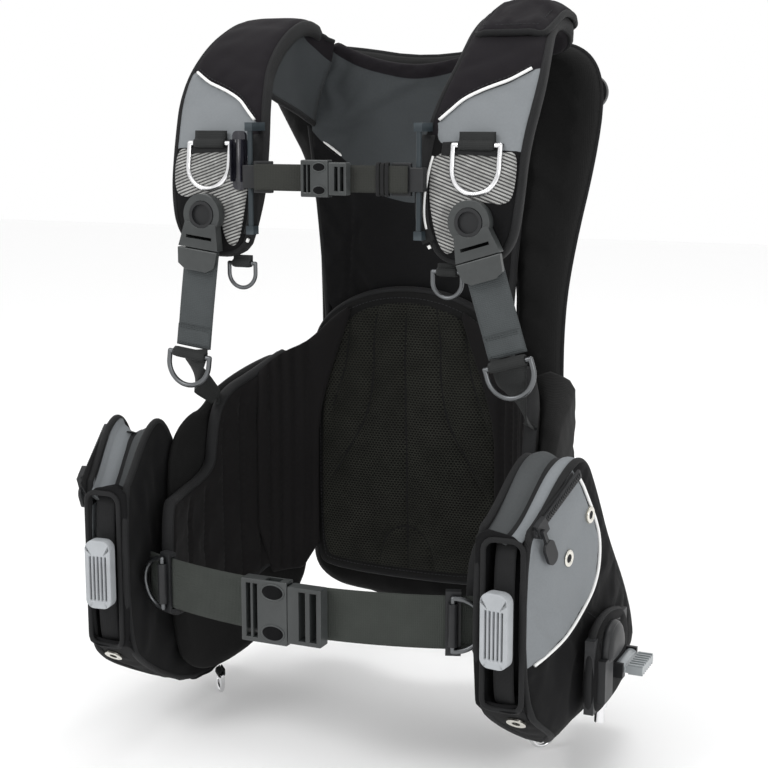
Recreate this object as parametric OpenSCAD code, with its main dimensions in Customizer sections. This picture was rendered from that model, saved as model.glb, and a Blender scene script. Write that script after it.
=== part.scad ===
// Buoyancy compensator vest for scuba diving.
// Millimetres. +X is the wearer's left, the wearer faces -Y, +Z is up.
// The origin lies on the cylinder's axis at the mid height of the cylinder band.

/* [Cylinder fit] */
// Diameter of the cylinder that the band holds
tank_d = 184; // [182:0.5:186]
// Width of the cylinder band
band_w = 50; // [44:1:50]
// Thickness of the cylinder band
band_t = 2.4; // [2:0.2:3]

/* [Webbing] */
// Width of the waist belt
belt_w = 50; // [44:1:50]
// Width of the shoulder straps
strap_w = 38; // [32:1:40]
// Width of the chest strap
chest_w = 25; // [20:1:26]
// Thickness of all webbing
web_t = 2; // [1.6:0.1:2.2]

/* [Rings] */
// Wire of the large rings
ring_wire = 5; // [4:0.2:5]
// Wire of the small rings
small_wire = 4; // [3:0.2:4]
// Gap between a ring's bar and its loop
ring_gap = 0.4; // [0.3:0.05:0.6]

/* [Travel room] */
// Free room round each weight pouch
pouch_room = 1.5; // [1:0.1:2]
// Free room round buckle prongs and sliders
slide_room = 0.8; // [0.5:0.1:1]

/* [Hidden] */
$fn = 48;
tank_r = tank_d / 2;
band_r = tank_r + band_t;

// Depth planes, from the cylinder forward
plate_front = -124;
cell_back = -72;
yoke_front = -137;
pad_front = -158;

// The waist belt and the wing pads are arcs seen from above
belt_r = 440;
belt_cy = 16;
belt_z = -184;
wing_c = [-56, -299];
wing_in = 224;
wing_out = 238;
// Inner and outer faces of a pocket, as large arcs seen from above
pocket_in_c = [-418, -272];
pocket_in_r = 615;
pocket_out_c = [-362, -236];
pocket_out_r = 617.4;
pocket_wall = 4;

// Shoulder straps hang from a swivel and lean out, more on the wearer's left
swivel = [138, -326, 170];
function strap_lean(s) = s < 0 ? 7 : 17;
function strap_len(s) = s < 0 ? 139 : 132;
function ring_bar(s) = [swivel[0] + strap_len(s) * sin(strap_lean(s)), -340,
                        swivel[2] - strap_len(s) * cos(strap_lean(s))];

// Ring places, for the wearer's left side
chest_ring_at = [138, -321.5, 238];
chest_ring_lean = -9;
small_ring_at = [108, -315, 122];
hip_ring_at = [184.5, -243, -336];
hip_ring_turn = 47;
belt_ring_x = 149;
belt_ring_lean = asin(belt_ring_x / belt_r);
belt_bar_y = -7.6;

// The chest rails and the strap between them
rail_at = [87, -334];
chest_z = 207;
chest_web_y = -341;
chest_buckle_y = -347.5;

// A weight pouch leaves forward and slightly inward
pouch_at = [205, -420, -172];
pouch_turn = -7.5;
pouch_size = [33, 100, 152];

// The zip's straight stretch
zip_from = [230.5, -420, -88];
zip_to = [249, -350, -47];

// The inflator unit on the wearer's left
unit_at = [258, -302, -222];
lever_at = [273.5, -268, -246];

// ---------- shared shapes ----------

// Children are built for the wearer's left and mirrored for the right
module on_side(s) {
    if (s < 0) mirror([1, 0, 0]) children();
    else children();
}

// An outline in X and Z, from depth y0 back to y1
module front_slab(points, y0, y1) {
    translate([0, y1, 0]) rotate([90, 0, 0]) linear_extrude(y1 - y0) polygon(points);
}

// An outline in Y and Z, from x0 out to x1
module side_slab(points, x0, x1) {
    translate([x0, 0, 0]) rotate([90, 0, 90]) linear_extrude(x1 - x0) polygon(points);
}

module box(low, high) translate(low) cube(high - low);

// A cylinder along X, centred on the origin
module x_rod(r, length) rotate([0, 90, 0]) cylinder(r = r, h = length, center = true);

// A cylinder along Y, from the origin forward
module y_rod(r, length) rotate([90, 0, 0]) cylinder(r = r, h = length);

// A plate in X and Z with round corners, centred, from the origin forward
module round_plate(w, h, r, t) {
    rotate([90, 0, 0]) linear_extrude(t) {
        square([w - 2 * r, h], center = true);
        square([w, h - 2 * r], center = true);
        for (x = [-1, 1], y = [-1, 1]) translate([x * (w / 2 - r), y * (h / 2 - r)]) circle(r);
    }
}

// A D ring that hangs down from a bar along X through the origin
module d_ring(inner_w, drop, wire) {
    half = (inner_w + wire) / 2;
    leg = drop - half;
    x_rod(wire / 2, 2 * half);
    for (x = [-half, half]) {
        translate([x, 0, -leg]) cylinder(d = wire, h = leg);
        translate([x, 0, 0]) sphere(d = wire);
    }
    translate([0, 0, -leg]) rotate([90, 0, 0]) rotate([0, 0, 180])
        rotate_extrude(angle = 180) translate([half, 0]) circle(d = wire);
}

// A webbing loop round a ring's bar, with its tail up behind the bar
module ring_loop(w, wire, tail) {
    bore = wire / 2 + ring_gap;
    difference() {
        union() {
            x_rod(bore + web_t, w);
            box([-w / 2, 0, 0], [w / 2, bore + web_t, tail]);
        }
        x_rod(bore, w + 2);
    }
}

// Moves children to a shoulder strap's own frame: the swivel's centre, +Z up the strap
module strap_frame(s) {
    on_side(s) translate(swivel) rotate([0, -strap_lean(s), 0]) children();
}

// Moves children to the pouch's frame: its front face's centre, +Y into the holster
module pouch_frame(s) on_side(s) translate(pouch_at) rotate([0, 0, pouch_turn]) children();

// An upright arc seen from above, between two radii
module arc_wall(centre, r_in, r_out, z0, z1) {
    translate([centre[0], centre[1], z0]) difference() {
        cylinder(r = r_out, h = z1 - z0, $fn = 180);
        translate([0, 0, -1]) cylinder(r = r_in, h = z1 - z0 + 2, $fn = 180);
    }
}

// ---------- carrying frame and cylinder band ----------

module backplate() {
    outline = [[-98, -150], [98, -150], [98, 120], [84, 178], [60, 190], [-60, 190], [-84, 178], [-98, 120]];
    color("dimgray") difference() {
        union() {
            front_slab(outline, plate_front, plate_front + 12);
            box([-62, plate_front + 12, -120], [62, -76, 150]);
            for (x = [-1, 1]) {
                translate([x * 51, -106, 200]) x_rod(7, 10);
                box([x * 51 - 5, -120, 180], [x * 51 + 5, -99, 200]);
            }
        }
        translate([0, 0, -160]) cylinder(r = tank_r + 1, h = 400);
        translate([0, 0, -band_w / 2 - 1]) cylinder(r = band_r + 0.4, h = band_w + 2);
        for (z = [-75, 90]) box([-28, plate_front - 1, z - 22], [28, -70, z + 22]);
        translate([0, -106, 200]) x_rod(3.06, 140);
    }
}

module tank_band() {
    color("#2c2f2e") difference() {
        translate([0, 0, -band_w / 2]) cylinder(r = band_r, h = band_w);
        cylinder(r = tank_r, h = band_w + 2, center = true);
    }
}

// The cam buckle's own frame: on the band at the back, towards the wearer's right
module cam_frame() rotate([0, 0, 30]) children();
cam_pin = [-20, 108];

module cam_buckle_base() {
    color("#202224") cam_frame() difference() {
        union() {
            box([-34, 84, -27], [34, 102, 27]);
            for (z = [-31, 27]) {
                box([-32, 84, z], [-6, 108, z + 4]);
                translate([cam_pin[0], cam_pin[1], z]) cylinder(r = 7, h = 4);
            }
        }
        cylinder(r = band_r + 0.1, h = 80, center = true);
        box([-14, 80, -22], [22, 110, 22]);
        translate([cam_pin[0], cam_pin[1], -40]) cylinder(r = 3.06, h = 80);
    }
}

module cam_lever() {
    color("#303335") cam_frame() {
        translate([cam_pin[0], cam_pin[1], -31]) cylinder(r = 3, h = 62);
        translate([cam_pin[0], cam_pin[1], -26]) cylinder(r = 5.5, h = 52);
        box([-20, 104, -26], [50, 110, 26]);
        box([44, 98, -26], [50, 110, 26]);
    }
}

module carry_handle() {
    rise = 46;
    reach = 40;
    color("#232526") translate([0, -106, 200]) {
        for (x = [-1, 1]) {
            translate([x * 49.5, 0, 0]) x_rod(3, 19);
            translate([x * reach, 0, -4]) cylinder(r = 4.5, h = rise);
        }
        translate([0, 0, rise - 4]) x_rod(7, 2 * reach + 9);
    }
}

// ---------- soft body ----------

module back_pad() {
    half_w = 112;
    arch = [for (a = [0 : 15 : 180]) [half_w * cos(a), 15 + 70 * sin(a)]];
    color("#161817") {
        front_slab(concat(arch, [[-half_w, -214], [-94, -232], [94, -232], [half_w, -214]]),
                   pad_front, yoke_front);
        box([-103, yoke_front, -225], [103, plate_front - 0.5, 28]);
    }
}

module wing_pad(s) {
    outline = [[-153, 25], [-206, -6], [-242, -18], [-262, -36], [-271, -69], [-275, -102], [-340, -113],
               [-381, -112], [-381, -226], [-330, -236], [-153, -232]];
    color("#1b1d1d") on_side(s) intersection() {
        arc_wall(wing_c, wing_in, wing_out, -240, 30);
        side_slab(outline, 100, 200);
    }
}

module yoke() {
    half = [[104, 32], [110, 120], [117, 190], [125, 262], [122, 292], [101, 314], [98, 345], [75, 333],
            [40, 321]];
    other = [for (i = [len(half) - 1 : -1 : 0]) [-half[i][0], half[i][1]]];
    color("#4a4f51") front_slab(concat(half, [[0, 316]], other), yoke_front + 0.5, plate_front - 0.5);
}

module air_cell() {
    half = [[0, -268], [100, -264], [146, -232], [158, -150], [152, -33], [152, 60], [162, 130],
            [182, 220], [190, 285], [180, 322], [150, 338], [90, 336], [0, 322]];
    other = [[-90, 336], [-150, 338], [-182, 322], [-189, 297], [-165, 254], [-140, 211], [-127, 152],
             [-124, 64], [-124, -33], [-138, -150], [-138, -232], [-100, -264]];
    color("#1d1f20") difference() {
        front_slab(concat(half, other), plate_front + 0.5, cell_back);
        box([-104, -140, -155], [104, -60, 255]);
        translate([0, 0, -300]) cylinder(r = tank_r + 4, h = 520);
    }
}

module air_lobe(s) {
    outline = [[-124.5, 12], [-175, 0], [-240, -20], [-262, -42], [-276, -104], [-330, -118], [-330, -280],
               [-290, -318], [-240, -330], [-180, -312], [-124.5, -250]];
    color("#252829") on_side(s) difference() {
        intersection() {
            side_slab(outline, 100, 260);
            translate([pocket_in_c[0], pocket_in_c[1], -400])
                cylinder(r = pocket_in_r - 1.5, h = 500, $fn = 180);
        }
        translate([wing_c[0], wing_c[1], -400]) cylinder(r = wing_out + 1.5, h = 500, $fn = 180);
    }
}

module shoulder_pad(s) {
    side = [[-322, 130], [-326, 170], [-322, 210], [-312, 245], [-296, 280], [-270, 315], [-235, 344],
            [-195, 360], [-160, 358], [-124, 341], [-124, 320], [-160, 341], [-193, 343], [-229, 327],
            [-260, 301], [-284, 270], [-299, 238], [-308, 205], [-312, 168], [-308, 130]];
    front = [[82, 200], [90, 162], [104, 130], [152, 130], [174, 150], [180, 190], [181, 235], [187, 290],
             [182, 330], [172, 365], [100, 365], [101, 316], [92, 285], [84, 245]];
    color("#707577") on_side(s) intersection() {
        side_slab(side, 70, 200);
        front_slab(front, -340, -120);
    }
}

// Pocket outline in Y and Z: the front edge is upright and the back top edge slopes down
pocket_side = [[-425, -92], [-402, -78], [-362, -42], [-330, -34], [-302, -74], [-267, -130],
               [-205, -192], [-145, -254], [-140, -286], [-178, -322], [-240, -338], [-300, -328],
               [-380, -284], [-425, -246]];

// Points on an upright arc seen from above, between two depths
function arc_points(centre, r, y0, y1, steps = 8) =
    [for (i = [0 : steps]) let (y = y0 + (y1 - y0) * i / steps)
        [centre[0] + sqrt(pow(r, 2) - pow(y - centre[1], 2)), y]];

// A pocket's plan is the crescent between its two faces, drawn in by wall on both
module pocket_solid(side, wall) {
    crescent = concat(arc_points(pocket_out_c, pocket_out_r - wall, -427, -135),
                      arc_points(pocket_in_c, pocket_in_r + wall, -135, -427));
    rise = [[150 + wall, wall - 341], [196 - wall, wall - 341], [258 - wall, wall - 262],
            [270 - wall, wall], [150 + wall, wall]];
    intersection() {
        side_slab(side, 152 + wall, 268 - wall);
        front_slab(rise, -430 + wall, -130 - wall);
        translate([0, 0, -400 + wall]) linear_extrude(400) polygon(crescent);
    }
}

// The cargo space opens upwards, over the weight holster and behind it
cargo_side = [[-392, -88], [-392, -30], [-318, -20], [-306, -76], [-272, -136], [-208, -200], [-162, -250],
              [-162, -272], [-186, -302], [-240, -316], [-311, -298], [-311, -88]];

module pocket(s) {
    color("#6d7274") on_side(s) difference() {
        pocket_solid(pocket_side, 0);
        pocket_solid(cargo_side, pocket_wall);
        translate(pouch_at) rotate([0, 0, pouch_turn]) pouch_space();
    }
}

module pouch_space() {
    w = pouch_size[0] / 2 + pouch_room;
    h = pouch_size[2] / 2 + pouch_room;
    box([-w, -30, -h], [w, pouch_size[1] + pouch_room, h]);
}

module shoulder_flap() {
    side = [[-252, 337], [-235, 348], [-195, 364.5], [-160, 362.5], [-128, 347], [-128, 353], [-160, 369],
            [-196, 371], [-238, 354], [-256, 341]];
    color("#1a1b1c") intersection() {
        side_slab(side, 104, 180);
        front_slab([[104, 330], [180, 330], [176, 366], [160, 373], [118, 373], [106, 366]], -270, -120);
    }
}

// ---------- weights and pockets ----------

module weight_pouch(s) {
    w = pouch_size[0];
    h = pouch_size[2];
    color("#18191a") pouch_frame(s) translate([0, pouch_size[1], 0]) round_plate(w, h, 12, pouch_size[1]);
}

module pouch_handle(s) {
    slot_w = 1.8;
    color("#b4b8bb") pouch_frame(s) difference() {
        union() {
            translate([0, -9, 0]) round_plate(27, 68, 9, 12);
            for (z = [-24, 24]) box([-6, -9.5, z - 5], [6, -0.3, z + 5]);
        }
        for (i = [-2 : 2]) box([i * 4 - slot_w / 2, -24, -26], [i * 4 + slot_w / 2, -18, 18]);
    }
}

// The zip runs between two points; this turns +X along it
module zip_frame(s) {
    run = zip_to - zip_from;
    on_side(s) translate(zip_from) rotate([0, -asin(run[2] / norm(run)), atan2(run[1], run[0])]) children();
}

module zip_chains() {
    color("#2a2c2e") for (s = [-1, 1]) zip_frame(s)
        box([0, -1.5, -4], [norm(zip_to - zip_from), 1.2, 4]);
}

module zip_slider(s) {
    gap = 0.4;
    color("silver") zip_frame(s) translate([10, 0, 0]) {
        difference() {
            box([-7, -4.6, -7], [7, 1.8, 7]);
            box([-8, -1.5 - gap, -4 - gap], [8, 2.6, 4 + gap]);
        }
        translate([-4, -4.6, -2]) box([-2, -3, -20], [2, 0, 3]);
        translate([-4, -5, -24]) round_plate(15, 24, 7, 3);
    }
}

module eyelets() {
    // Distance back and height of each eyelet on a pocket's outer face
    places = [[-364, -122], [-321, -92]];
    color("#c9c7be") for (s = [-1, 1]) on_side(s) {
        for (p = places) {
            turn = asin((p[0] - pocket_out_c[1]) / pocket_out_r);
            translate([pocket_out_c[0], pocket_out_c[1], p[1]]) rotate([0, 0, turn])
                translate([pocket_out_r + 0.2, 0, 0]) rotate([0, 90, 0]) ring_washer(8, 3.6, 1.8);
        }
        translate([212, -403.5, -266]) rotate([48.4, 0, 0]) rotate([90, 0, 0]) ring_washer(9, 4, 1.8);
    }
}

module ring_washer(r_out, r_in, t) {
    difference() {
        cylinder(r = r_out, h = t);
        translate([0, 0, -1]) cylinder(r = r_in, h = t + 2);
    }
}

// ---------- rings and their loops ----------

module chest_ring(s) {
    color("#c8cbce") on_side(s) translate(chest_ring_at) rotate([chest_ring_lean, 0, 0])
        d_ring(40, 44, ring_wire);
}

module accessory_ring(s) {
    color("#6a6d70") on_side(s) translate(small_ring_at) d_ring(25, 24, small_wire);
}

module strap_ring(s) {
    color("#5a5d60") on_side(s) translate(ring_bar(s)) rotate([0, -strap_lean(s), 0])
        d_ring(40, 31, ring_wire);
}

module hip_ring(s) {
    color("#c8cbce") on_side(s) translate(hip_ring_at) rotate([0, 0, hip_ring_turn])
        d_ring(22, 20, small_wire);
}

module ring_tabs() {
    color("#151617") for (s = [-1, 1]) on_side(s) {
        translate(chest_ring_at) ring_loop(34, ring_wire, 12);
        translate(small_ring_at) ring_loop(20, small_wire, 7.8);
        translate(hip_ring_at) rotate([0, 0, hip_ring_turn]) ring_loop(18, small_wire, 5.5);
    }
}

// A lower ring's loop, with its strap back and down to the wing's top
module anchor_straps() {
    bore = ring_wire / 2 + ring_gap;
    half = strap_w / 2 - 1;
    color("#26292a") for (s = [-1, 1]) on_side(s) difference() {
        union() {
            translate(ring_bar(s)) rotate([0, -strap_lean(s), 0]) {
                x_rod(bore + web_t, 2 * half);
                box([-half, 1, -9], [half, 5, 0]);
            }
            anchor_strap(ring_bar(s), half * cos(strap_lean(s)), half * sin(strap_lean(s)));
        }
        translate(ring_bar(s)) rotate([0, -strap_lean(s), 0]) x_rod(bore, strap_w);
    }
}

// The strap is drawn in to its tip; across and rise place the two ends of its top edge
module anchor_strap(bar, across, rise) {
    tip = [172, -258, -29];
    top = bar[2] - 4;
    side = [[bar[1] + 2, top + 8], [bar[1] + 5, top + 8], [bar[1] + 6, top - 4],
            [tip[1] + 3, tip[2]], [tip[1], tip[2]], [bar[1] + 2, top - 4]];
    front = [[bar[0] - across, top - rise], [bar[0] + across, top + rise],
             [tip[0] + 7, tip[2] - 1], [tip[0] - 7, tip[2] - 1]];
    intersection() {
        side_slab(side, 90, 230);
        front_slab(front, -345, -250);
    }
}

// ---------- shoulder straps ----------

module swivel_studs() {
    color("#242627") for (s = [-1, 1]) on_side(s) translate(swivel) difference() {
        union() {
            y_rod(16, 3.5);
            y_rod(13, 16);
        }
        translate([0, -13, 0]) y_rod(10, 4);
    }
}

module shoulder_socket(s) {
    body = [[-17, -8], [17, -8], [22, -33], [-22, -33]];
    color("#2b2e30") strap_frame(s) difference() {
        union() {
            translate([0, -4.2, 0]) y_rod(20, 11);
            front_slab(body, -16.5, -5.5);
        }
        translate([0, -1, 0]) y_rod(13.2, 20);
        box([-14, -20, -24], [14, 0, -21]);
        box([-16, -13.5, -40], [16, -8, -26]);
    }
}

module shoulder_plug(s) {
    tail = [[-22, -34], [22, -34], [20, -50], [12, -55], [-12, -55], [-20, -50]];
    color("#34383a") strap_frame(s) {
        front_slab(tail, -17.5, -11.5);
        for (x = [-12, 12]) box([x - 3, -12.7, -36], [x + 3, -8.8, -27]);
        box([-15, -12.7, -38], [15, -8.8, -34]);
    }
}

module shoulder_strap(s) {
    color("#2f3335") strap_frame(s)
        box([-strap_w / 2, -8, -(strap_len(s) - 7)], [strap_w / 2, web_t - 8, -40]);
}

// ---------- chest strap ----------

module chest_rails() {
    color("#4a5560") for (s = [-1, 1]) on_side(s) {
        translate([rail_at[0], rail_at[1], 158]) cylinder(r = 2.5, h = 94);
        for (z = [152, 250]) box([rail_at[0] - 4, -337, z], [rail_at[0] + 4, z < 200 ? -326.5 : -311, z + 8]);
    }
}

module chest_sliders() {
    color("#1d1f20") for (s = [-1, 1]) on_side(s) difference() {
        union() {
            box([80, -339, chest_z - 11], [93, -329, chest_z + 11]);
            box([62, -339, chest_z - 15], [81, -334, chest_z + 15]);
        }
        translate([rail_at[0], rail_at[1], chest_z]) cylinder(r = 2.9, h = 40, center = true);
        box([66, -345, chest_z - 12], [70, -330, chest_z + 12]);
        box([73, -345, chest_z - 12], [77, -330, chest_z + 12]);
    }
}

module chest_web(s) {
    color("#232527") on_side(s) box([8, chest_web_y - web_t / 2, chest_z - chest_w / 2],
                                    [79, chest_web_y + web_t / 2, chest_z + chest_w / 2]);
}

module chest_socket() {
    color("#2a2c2e") translate([0, chest_buckle_y, chest_z]) buckle_socket(28, 34, 10, 4);
}

module chest_plug() {
    color("#2a2c2e") translate([0, chest_buckle_y, chest_z]) buckle_plug(18, 30, 10, 13, 4);
}

// A side release socket whose mouth faces +X at x = mouth
module buckle_socket(length, h, t, mouth) {
    back = mouth - length;
    wall = 2.2;
    difference() {
        box([back, -t / 2, -h / 2], [mouth, t / 2, h / 2]);
        box([back + length * 0.4, -t / 2 + wall, -h / 2 + wall], [mouth + 1, t / 2 - wall, h / 2 - wall]);
        for (z = [-1, 1]) box([back + length * 0.5, -t / 2 + wall, z * h / 2 - 4],
                              [back + length * 0.82, t / 2 - wall, z * h / 2 + 4]);
        for (x = [0.1, 0.25]) box([back + length * x, -t, -h / 2 + 2 * wall],
                                  [back + length * (x + 0.1), t, h / 2 - 2 * wall]);
    }
}

// A plug with two prongs towards -X; its frame starts at x = mouth
module buckle_plug(length, h, t, prong, mouth) {
    wall = 2.2 + slide_room;
    difference() {
        box([mouth + 0.5, -t / 2, -h / 2], [mouth + 0.5 + length, t / 2, h / 2]);
        for (x = [0.35, 0.68]) box([mouth + length * x, -t, -h / 2 + 4],
                                   [mouth + length * (x + 0.2), t, h / 2 - 4]);
    }
    for (z = [-1, 1]) {
        box([mouth - prong, -t / 2 + wall, min(z * h * 0.4, z * h * 0.22)],
            [mouth + 2, t / 2 - wall, max(z * h * 0.4, z * h * 0.22)]);
    }
}

// ---------- waist belt ----------

module waist_belts() {
    color("#34383a") for (s = [-1, 1]) on_side(s) intersection() {
        arc_wall([0, belt_cy], belt_r - web_t / 2, belt_r + web_t / 2,
                 belt_z - belt_w / 2, belt_z + belt_w / 2);
        box([16, -440, -250], [176, -380, -120]);
    }
}

module waist_socket() {
    color("#232628") translate([0, -434, belt_z]) buckle_socket(47, 60, 14, 3);
}

module waist_plug() {
    color("#232628") translate([0, -434, belt_z]) buckle_plug(34, 54, 14, 24, 3);
}

// A frame on the belt, turned to lie along it
module belt_frame(s) {
    translate([s * belt_ring_x, belt_cy - belt_r * cos(belt_ring_lean), belt_z])
        rotate([0, 0, s * belt_ring_lean]) children();
}

module belt_sliders() {
    h = belt_w / 2;
    color("#1f2122") for (s = [-1, 1]) belt_frame(s) difference() {
        union() {
            box([-7, -4.5, -h - 5], [7, 4, h + 5]);
            translate([0, belt_bar_y, -h + 5]) cylinder(r = 4.6, h = 2 * h - 10);
        }
        box([-12, -2, -h - 1], [12, 2, h + 1]);
        translate([0, belt_bar_y, -h]) cylinder(r = ring_wire / 2 + ring_gap, h = 2 * h);
    }
}

module waist_ring(s) {
    color("#55585a") belt_frame(s) translate([0, belt_bar_y, 0]) rotate([0, -90 * s, 0])
        d_ring(44, 27, ring_wire);
}

// ---------- valves, inflator and clip ----------

module exhaust_valves() {
    color("#1b1c1d") for (s = [-1, 1])
    on_side(s) translate([168, cell_back + 0.5, 288]) rotate([0, 0, 180]) difference() {
        union() {
            y_rod(18, 8);
            y_rod(12, 14);
        }
        translate([0, -4, 0]) y_rod(4.3, 20);
    }
}

module valve_knob() {
    color("#2c2e30") translate([-168, cell_back + 5.5, 288]) rotate([0, 0, 180]) {
        y_rod(3.8, 12);
        translate([0, -10.5, 0]) y_rod(9, 5);
    }
}

module inflator_housing() {
    face = [unit_at[0] + 8, unit_at[1], unit_at[2]];
    color("#222426") {
        translate(unit_at) box([-1, -46, -50], [8, 64, 20]);
        translate(face) translate([4, -4, 0]) intersection() {
            x_rod(26, 10);
            box([-9, -30, -2], [9, 30, 30]);
        }
        translate(face) box([-2, -40, -40], [9, -14, 0]);
        for (y = [-27, 23]) box([face[0] - 1, lever_at[1] + y, lever_at[2] - 7],
                                [lever_at[0] + 5, lever_at[1] + y + 4, lever_at[2] + 7]);
        translate(lever_at) rotate([90, 0, 0]) cylinder(r = 3, h = 52, center = true);
    }
}

module inflator_lever() {
    color("#8d9194") translate(lever_at) difference() {
        union() {
            rotate([90, 0, 0]) cylinder(r = 6, h = 44, center = true);
            box([0, -20, -3.5], [22, 20, 3.5]);
            for (y = [-18 : 6 : 18]) box([8, y - 1, -5], [22, y + 1, 5]);
        }
        rotate([90, 0, 0]) cylinder(r = 3.06, h = 60, center = true);
    }
}

module hose_connector() {
    color("#c2c5c7") translate([unit_at[0] + 3.5, unit_at[1] - 8, unit_at[2] - 50]) {
        translate([0, 0, -20]) cylinder(r = 4.7, h = 16);
        translate([0, 0, -5]) cylinder(r = 7, h = 5);
    }
}

module hose_clip() {
    color("#17181a") translate([-101, -327, 222]) difference() {
        union() {
            round_plate(14, 56, 5, 4);
            translate([0, -8, 0]) cylinder(r = 7, h = 40, center = true);
        }
        translate([0, -8, 0]) cylinder(r = 4.5, h = 60, center = true);
        box([-4, -20, -30], [4, -8, 30]);
    }
}

backplate();
tank_band();
cam_buckle_base();
back_pad();
wing_pad(1);  // wing_pad_left
wing_pad(-1);  // wing_pad_right
yoke();
air_cell();
air_lobe(1);  // air_lobe_left
air_lobe(-1);  // air_lobe_right
shoulder_pad(1);  // shoulder_pad_left
shoulder_pad(-1);  // shoulder_pad_right
chest_rails();
pocket(1);  // pocket_left
pocket(-1);  // pocket_right
zip_chains();
eyelets();
ring_tabs();
anchor_straps();
swivel_studs();
waist_belts();
waist_socket();
belt_sliders();
shoulder_flap();
exhaust_valves();
inflator_housing();
hose_connector();
hose_clip();
cam_lever();
carry_handle();
chest_sliders();
chest_web(-1);  // chest_strap_right
chest_web(1);  // chest_strap_left
chest_socket();
chest_plug();
waist_plug();
waist_ring(1);  // waist_ring_left
waist_ring(-1);  // waist_ring_right
shoulder_socket(1);  // shoulder_socket_left
shoulder_socket(-1);  // shoulder_socket_right
shoulder_strap(1);  // shoulder_strap_left
shoulder_strap(-1);  // shoulder_strap_right
shoulder_plug(1);  // shoulder_plug_left
shoulder_plug(-1);  // shoulder_plug_right
chest_ring(1);  // chest_ring_left
chest_ring(-1);  // chest_ring_right
strap_ring(1);  // strap_ring_left
strap_ring(-1);  // strap_ring_right
accessory_ring(1);  // accessory_ring_left
accessory_ring(-1);  // accessory_ring_right
hip_ring(1);  // hip_ring_left
hip_ring(-1);  // hip_ring_right
weight_pouch(1);  // weight_pouch_left
weight_pouch(-1);  // weight_pouch_right
pouch_handle(1);  // pouch_handle_left
pouch_handle(-1);  // pouch_handle_right
zip_slider(1);  // zip_slider_left
zip_slider(-1);  // zip_slider_right
inflator_lever();
valve_knob();
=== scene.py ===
import math

import bmesh
import bpy
import numpy as np
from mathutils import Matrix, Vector
from mathutils.geometry import delaunay_2d_cdt

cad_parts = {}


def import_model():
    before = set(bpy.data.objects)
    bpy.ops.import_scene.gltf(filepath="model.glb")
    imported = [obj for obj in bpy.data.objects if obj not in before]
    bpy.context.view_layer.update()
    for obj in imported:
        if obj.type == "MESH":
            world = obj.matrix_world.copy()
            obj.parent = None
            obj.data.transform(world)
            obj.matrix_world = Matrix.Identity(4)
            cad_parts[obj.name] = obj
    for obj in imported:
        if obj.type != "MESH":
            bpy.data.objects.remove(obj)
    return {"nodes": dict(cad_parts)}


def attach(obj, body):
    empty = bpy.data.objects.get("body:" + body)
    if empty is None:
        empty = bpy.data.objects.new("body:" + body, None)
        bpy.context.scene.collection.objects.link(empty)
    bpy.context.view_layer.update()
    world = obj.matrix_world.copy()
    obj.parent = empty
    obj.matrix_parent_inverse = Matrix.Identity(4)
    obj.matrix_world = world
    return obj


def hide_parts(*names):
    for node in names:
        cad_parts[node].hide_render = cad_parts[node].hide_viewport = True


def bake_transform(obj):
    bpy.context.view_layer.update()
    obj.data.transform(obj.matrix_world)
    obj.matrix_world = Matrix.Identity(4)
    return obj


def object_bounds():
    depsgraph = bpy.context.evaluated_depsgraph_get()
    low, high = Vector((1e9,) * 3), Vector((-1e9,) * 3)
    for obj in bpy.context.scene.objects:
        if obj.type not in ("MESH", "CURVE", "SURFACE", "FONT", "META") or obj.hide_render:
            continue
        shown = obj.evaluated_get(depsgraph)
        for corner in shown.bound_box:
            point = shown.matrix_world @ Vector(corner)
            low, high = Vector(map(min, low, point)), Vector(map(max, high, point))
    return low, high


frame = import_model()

MM = 0.001
cad_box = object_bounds()

# Depth planes and arcs of the vest, in mm, as in the CAD
WING_C, WING_IN, WING_OUT = (-56.0, -299.0), 224.0, 238.0
POCKET_IN_C, POCKET_IN_R = (-418.0, -272.0), 615.0
POCKET_OUT_C, POCKET_OUT_R = (-362.0, -236.0), 617.4
SWIVEL = np.array([138.0, -326.0, 170.0])
STRAP_LEAN = {1: 17.0, -1: 7.0}
STRAP_LEN = {1: 132.0, -1: 139.0}
BELT_R, BELT_CY, BELT_Z = 440.0, 16.0, -184.0
POUCH_AT, POUCH_TURN = np.array([205.0, -420.0, -172.0]), math.radians(-7.5)
CHEST_Y, CHEST_Z = -341.0, 207.0
SIDES = {1: "left", -1: "right"}

# Where the camera stands: degrees round and up, metres away, millimetres of lens
CAMERA_ROUND, CAMERA_UP, CAMERA_FAR, CAMERA_LENS = 24, 10, 1.52, 71.25
WHITE = (0.96, 0.96, 0.96, 1)


# ---------- camera, light and floor ----------

def add_camera():
    target = Vector((0.015, -0.25, 0.0))
    turn, lift = math.radians(CAMERA_ROUND), math.radians(CAMERA_UP)
    out = Vector((math.sin(turn) * math.cos(lift), -math.cos(turn) * math.cos(lift), math.sin(lift)))
    data = bpy.data.cameras.new("camera")
    data.lens = CAMERA_LENS
    data.sensor_width = 36
    camera = bpy.data.objects.new("camera", data)
    bpy.context.scene.collection.objects.link(camera)
    camera.location = target + out * CAMERA_FAR
    camera.rotation_euler = (-out).to_track_quat("-Z", "Y").to_euler()
    bpy.context.scene.camera = camera


def add_light(name, place, target, size, watts):
    data = bpy.data.lights.new(name, "AREA")
    data.shape = "DISK"
    data.size = size
    data.energy = watts
    lamp = bpy.data.objects.new(name, data)
    bpy.context.scene.collection.objects.link(lamp)
    lamp.location = place
    lamp.rotation_euler = (Vector(target) - Vector(place)).to_track_quat("-Z", "Y").to_euler()


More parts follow.
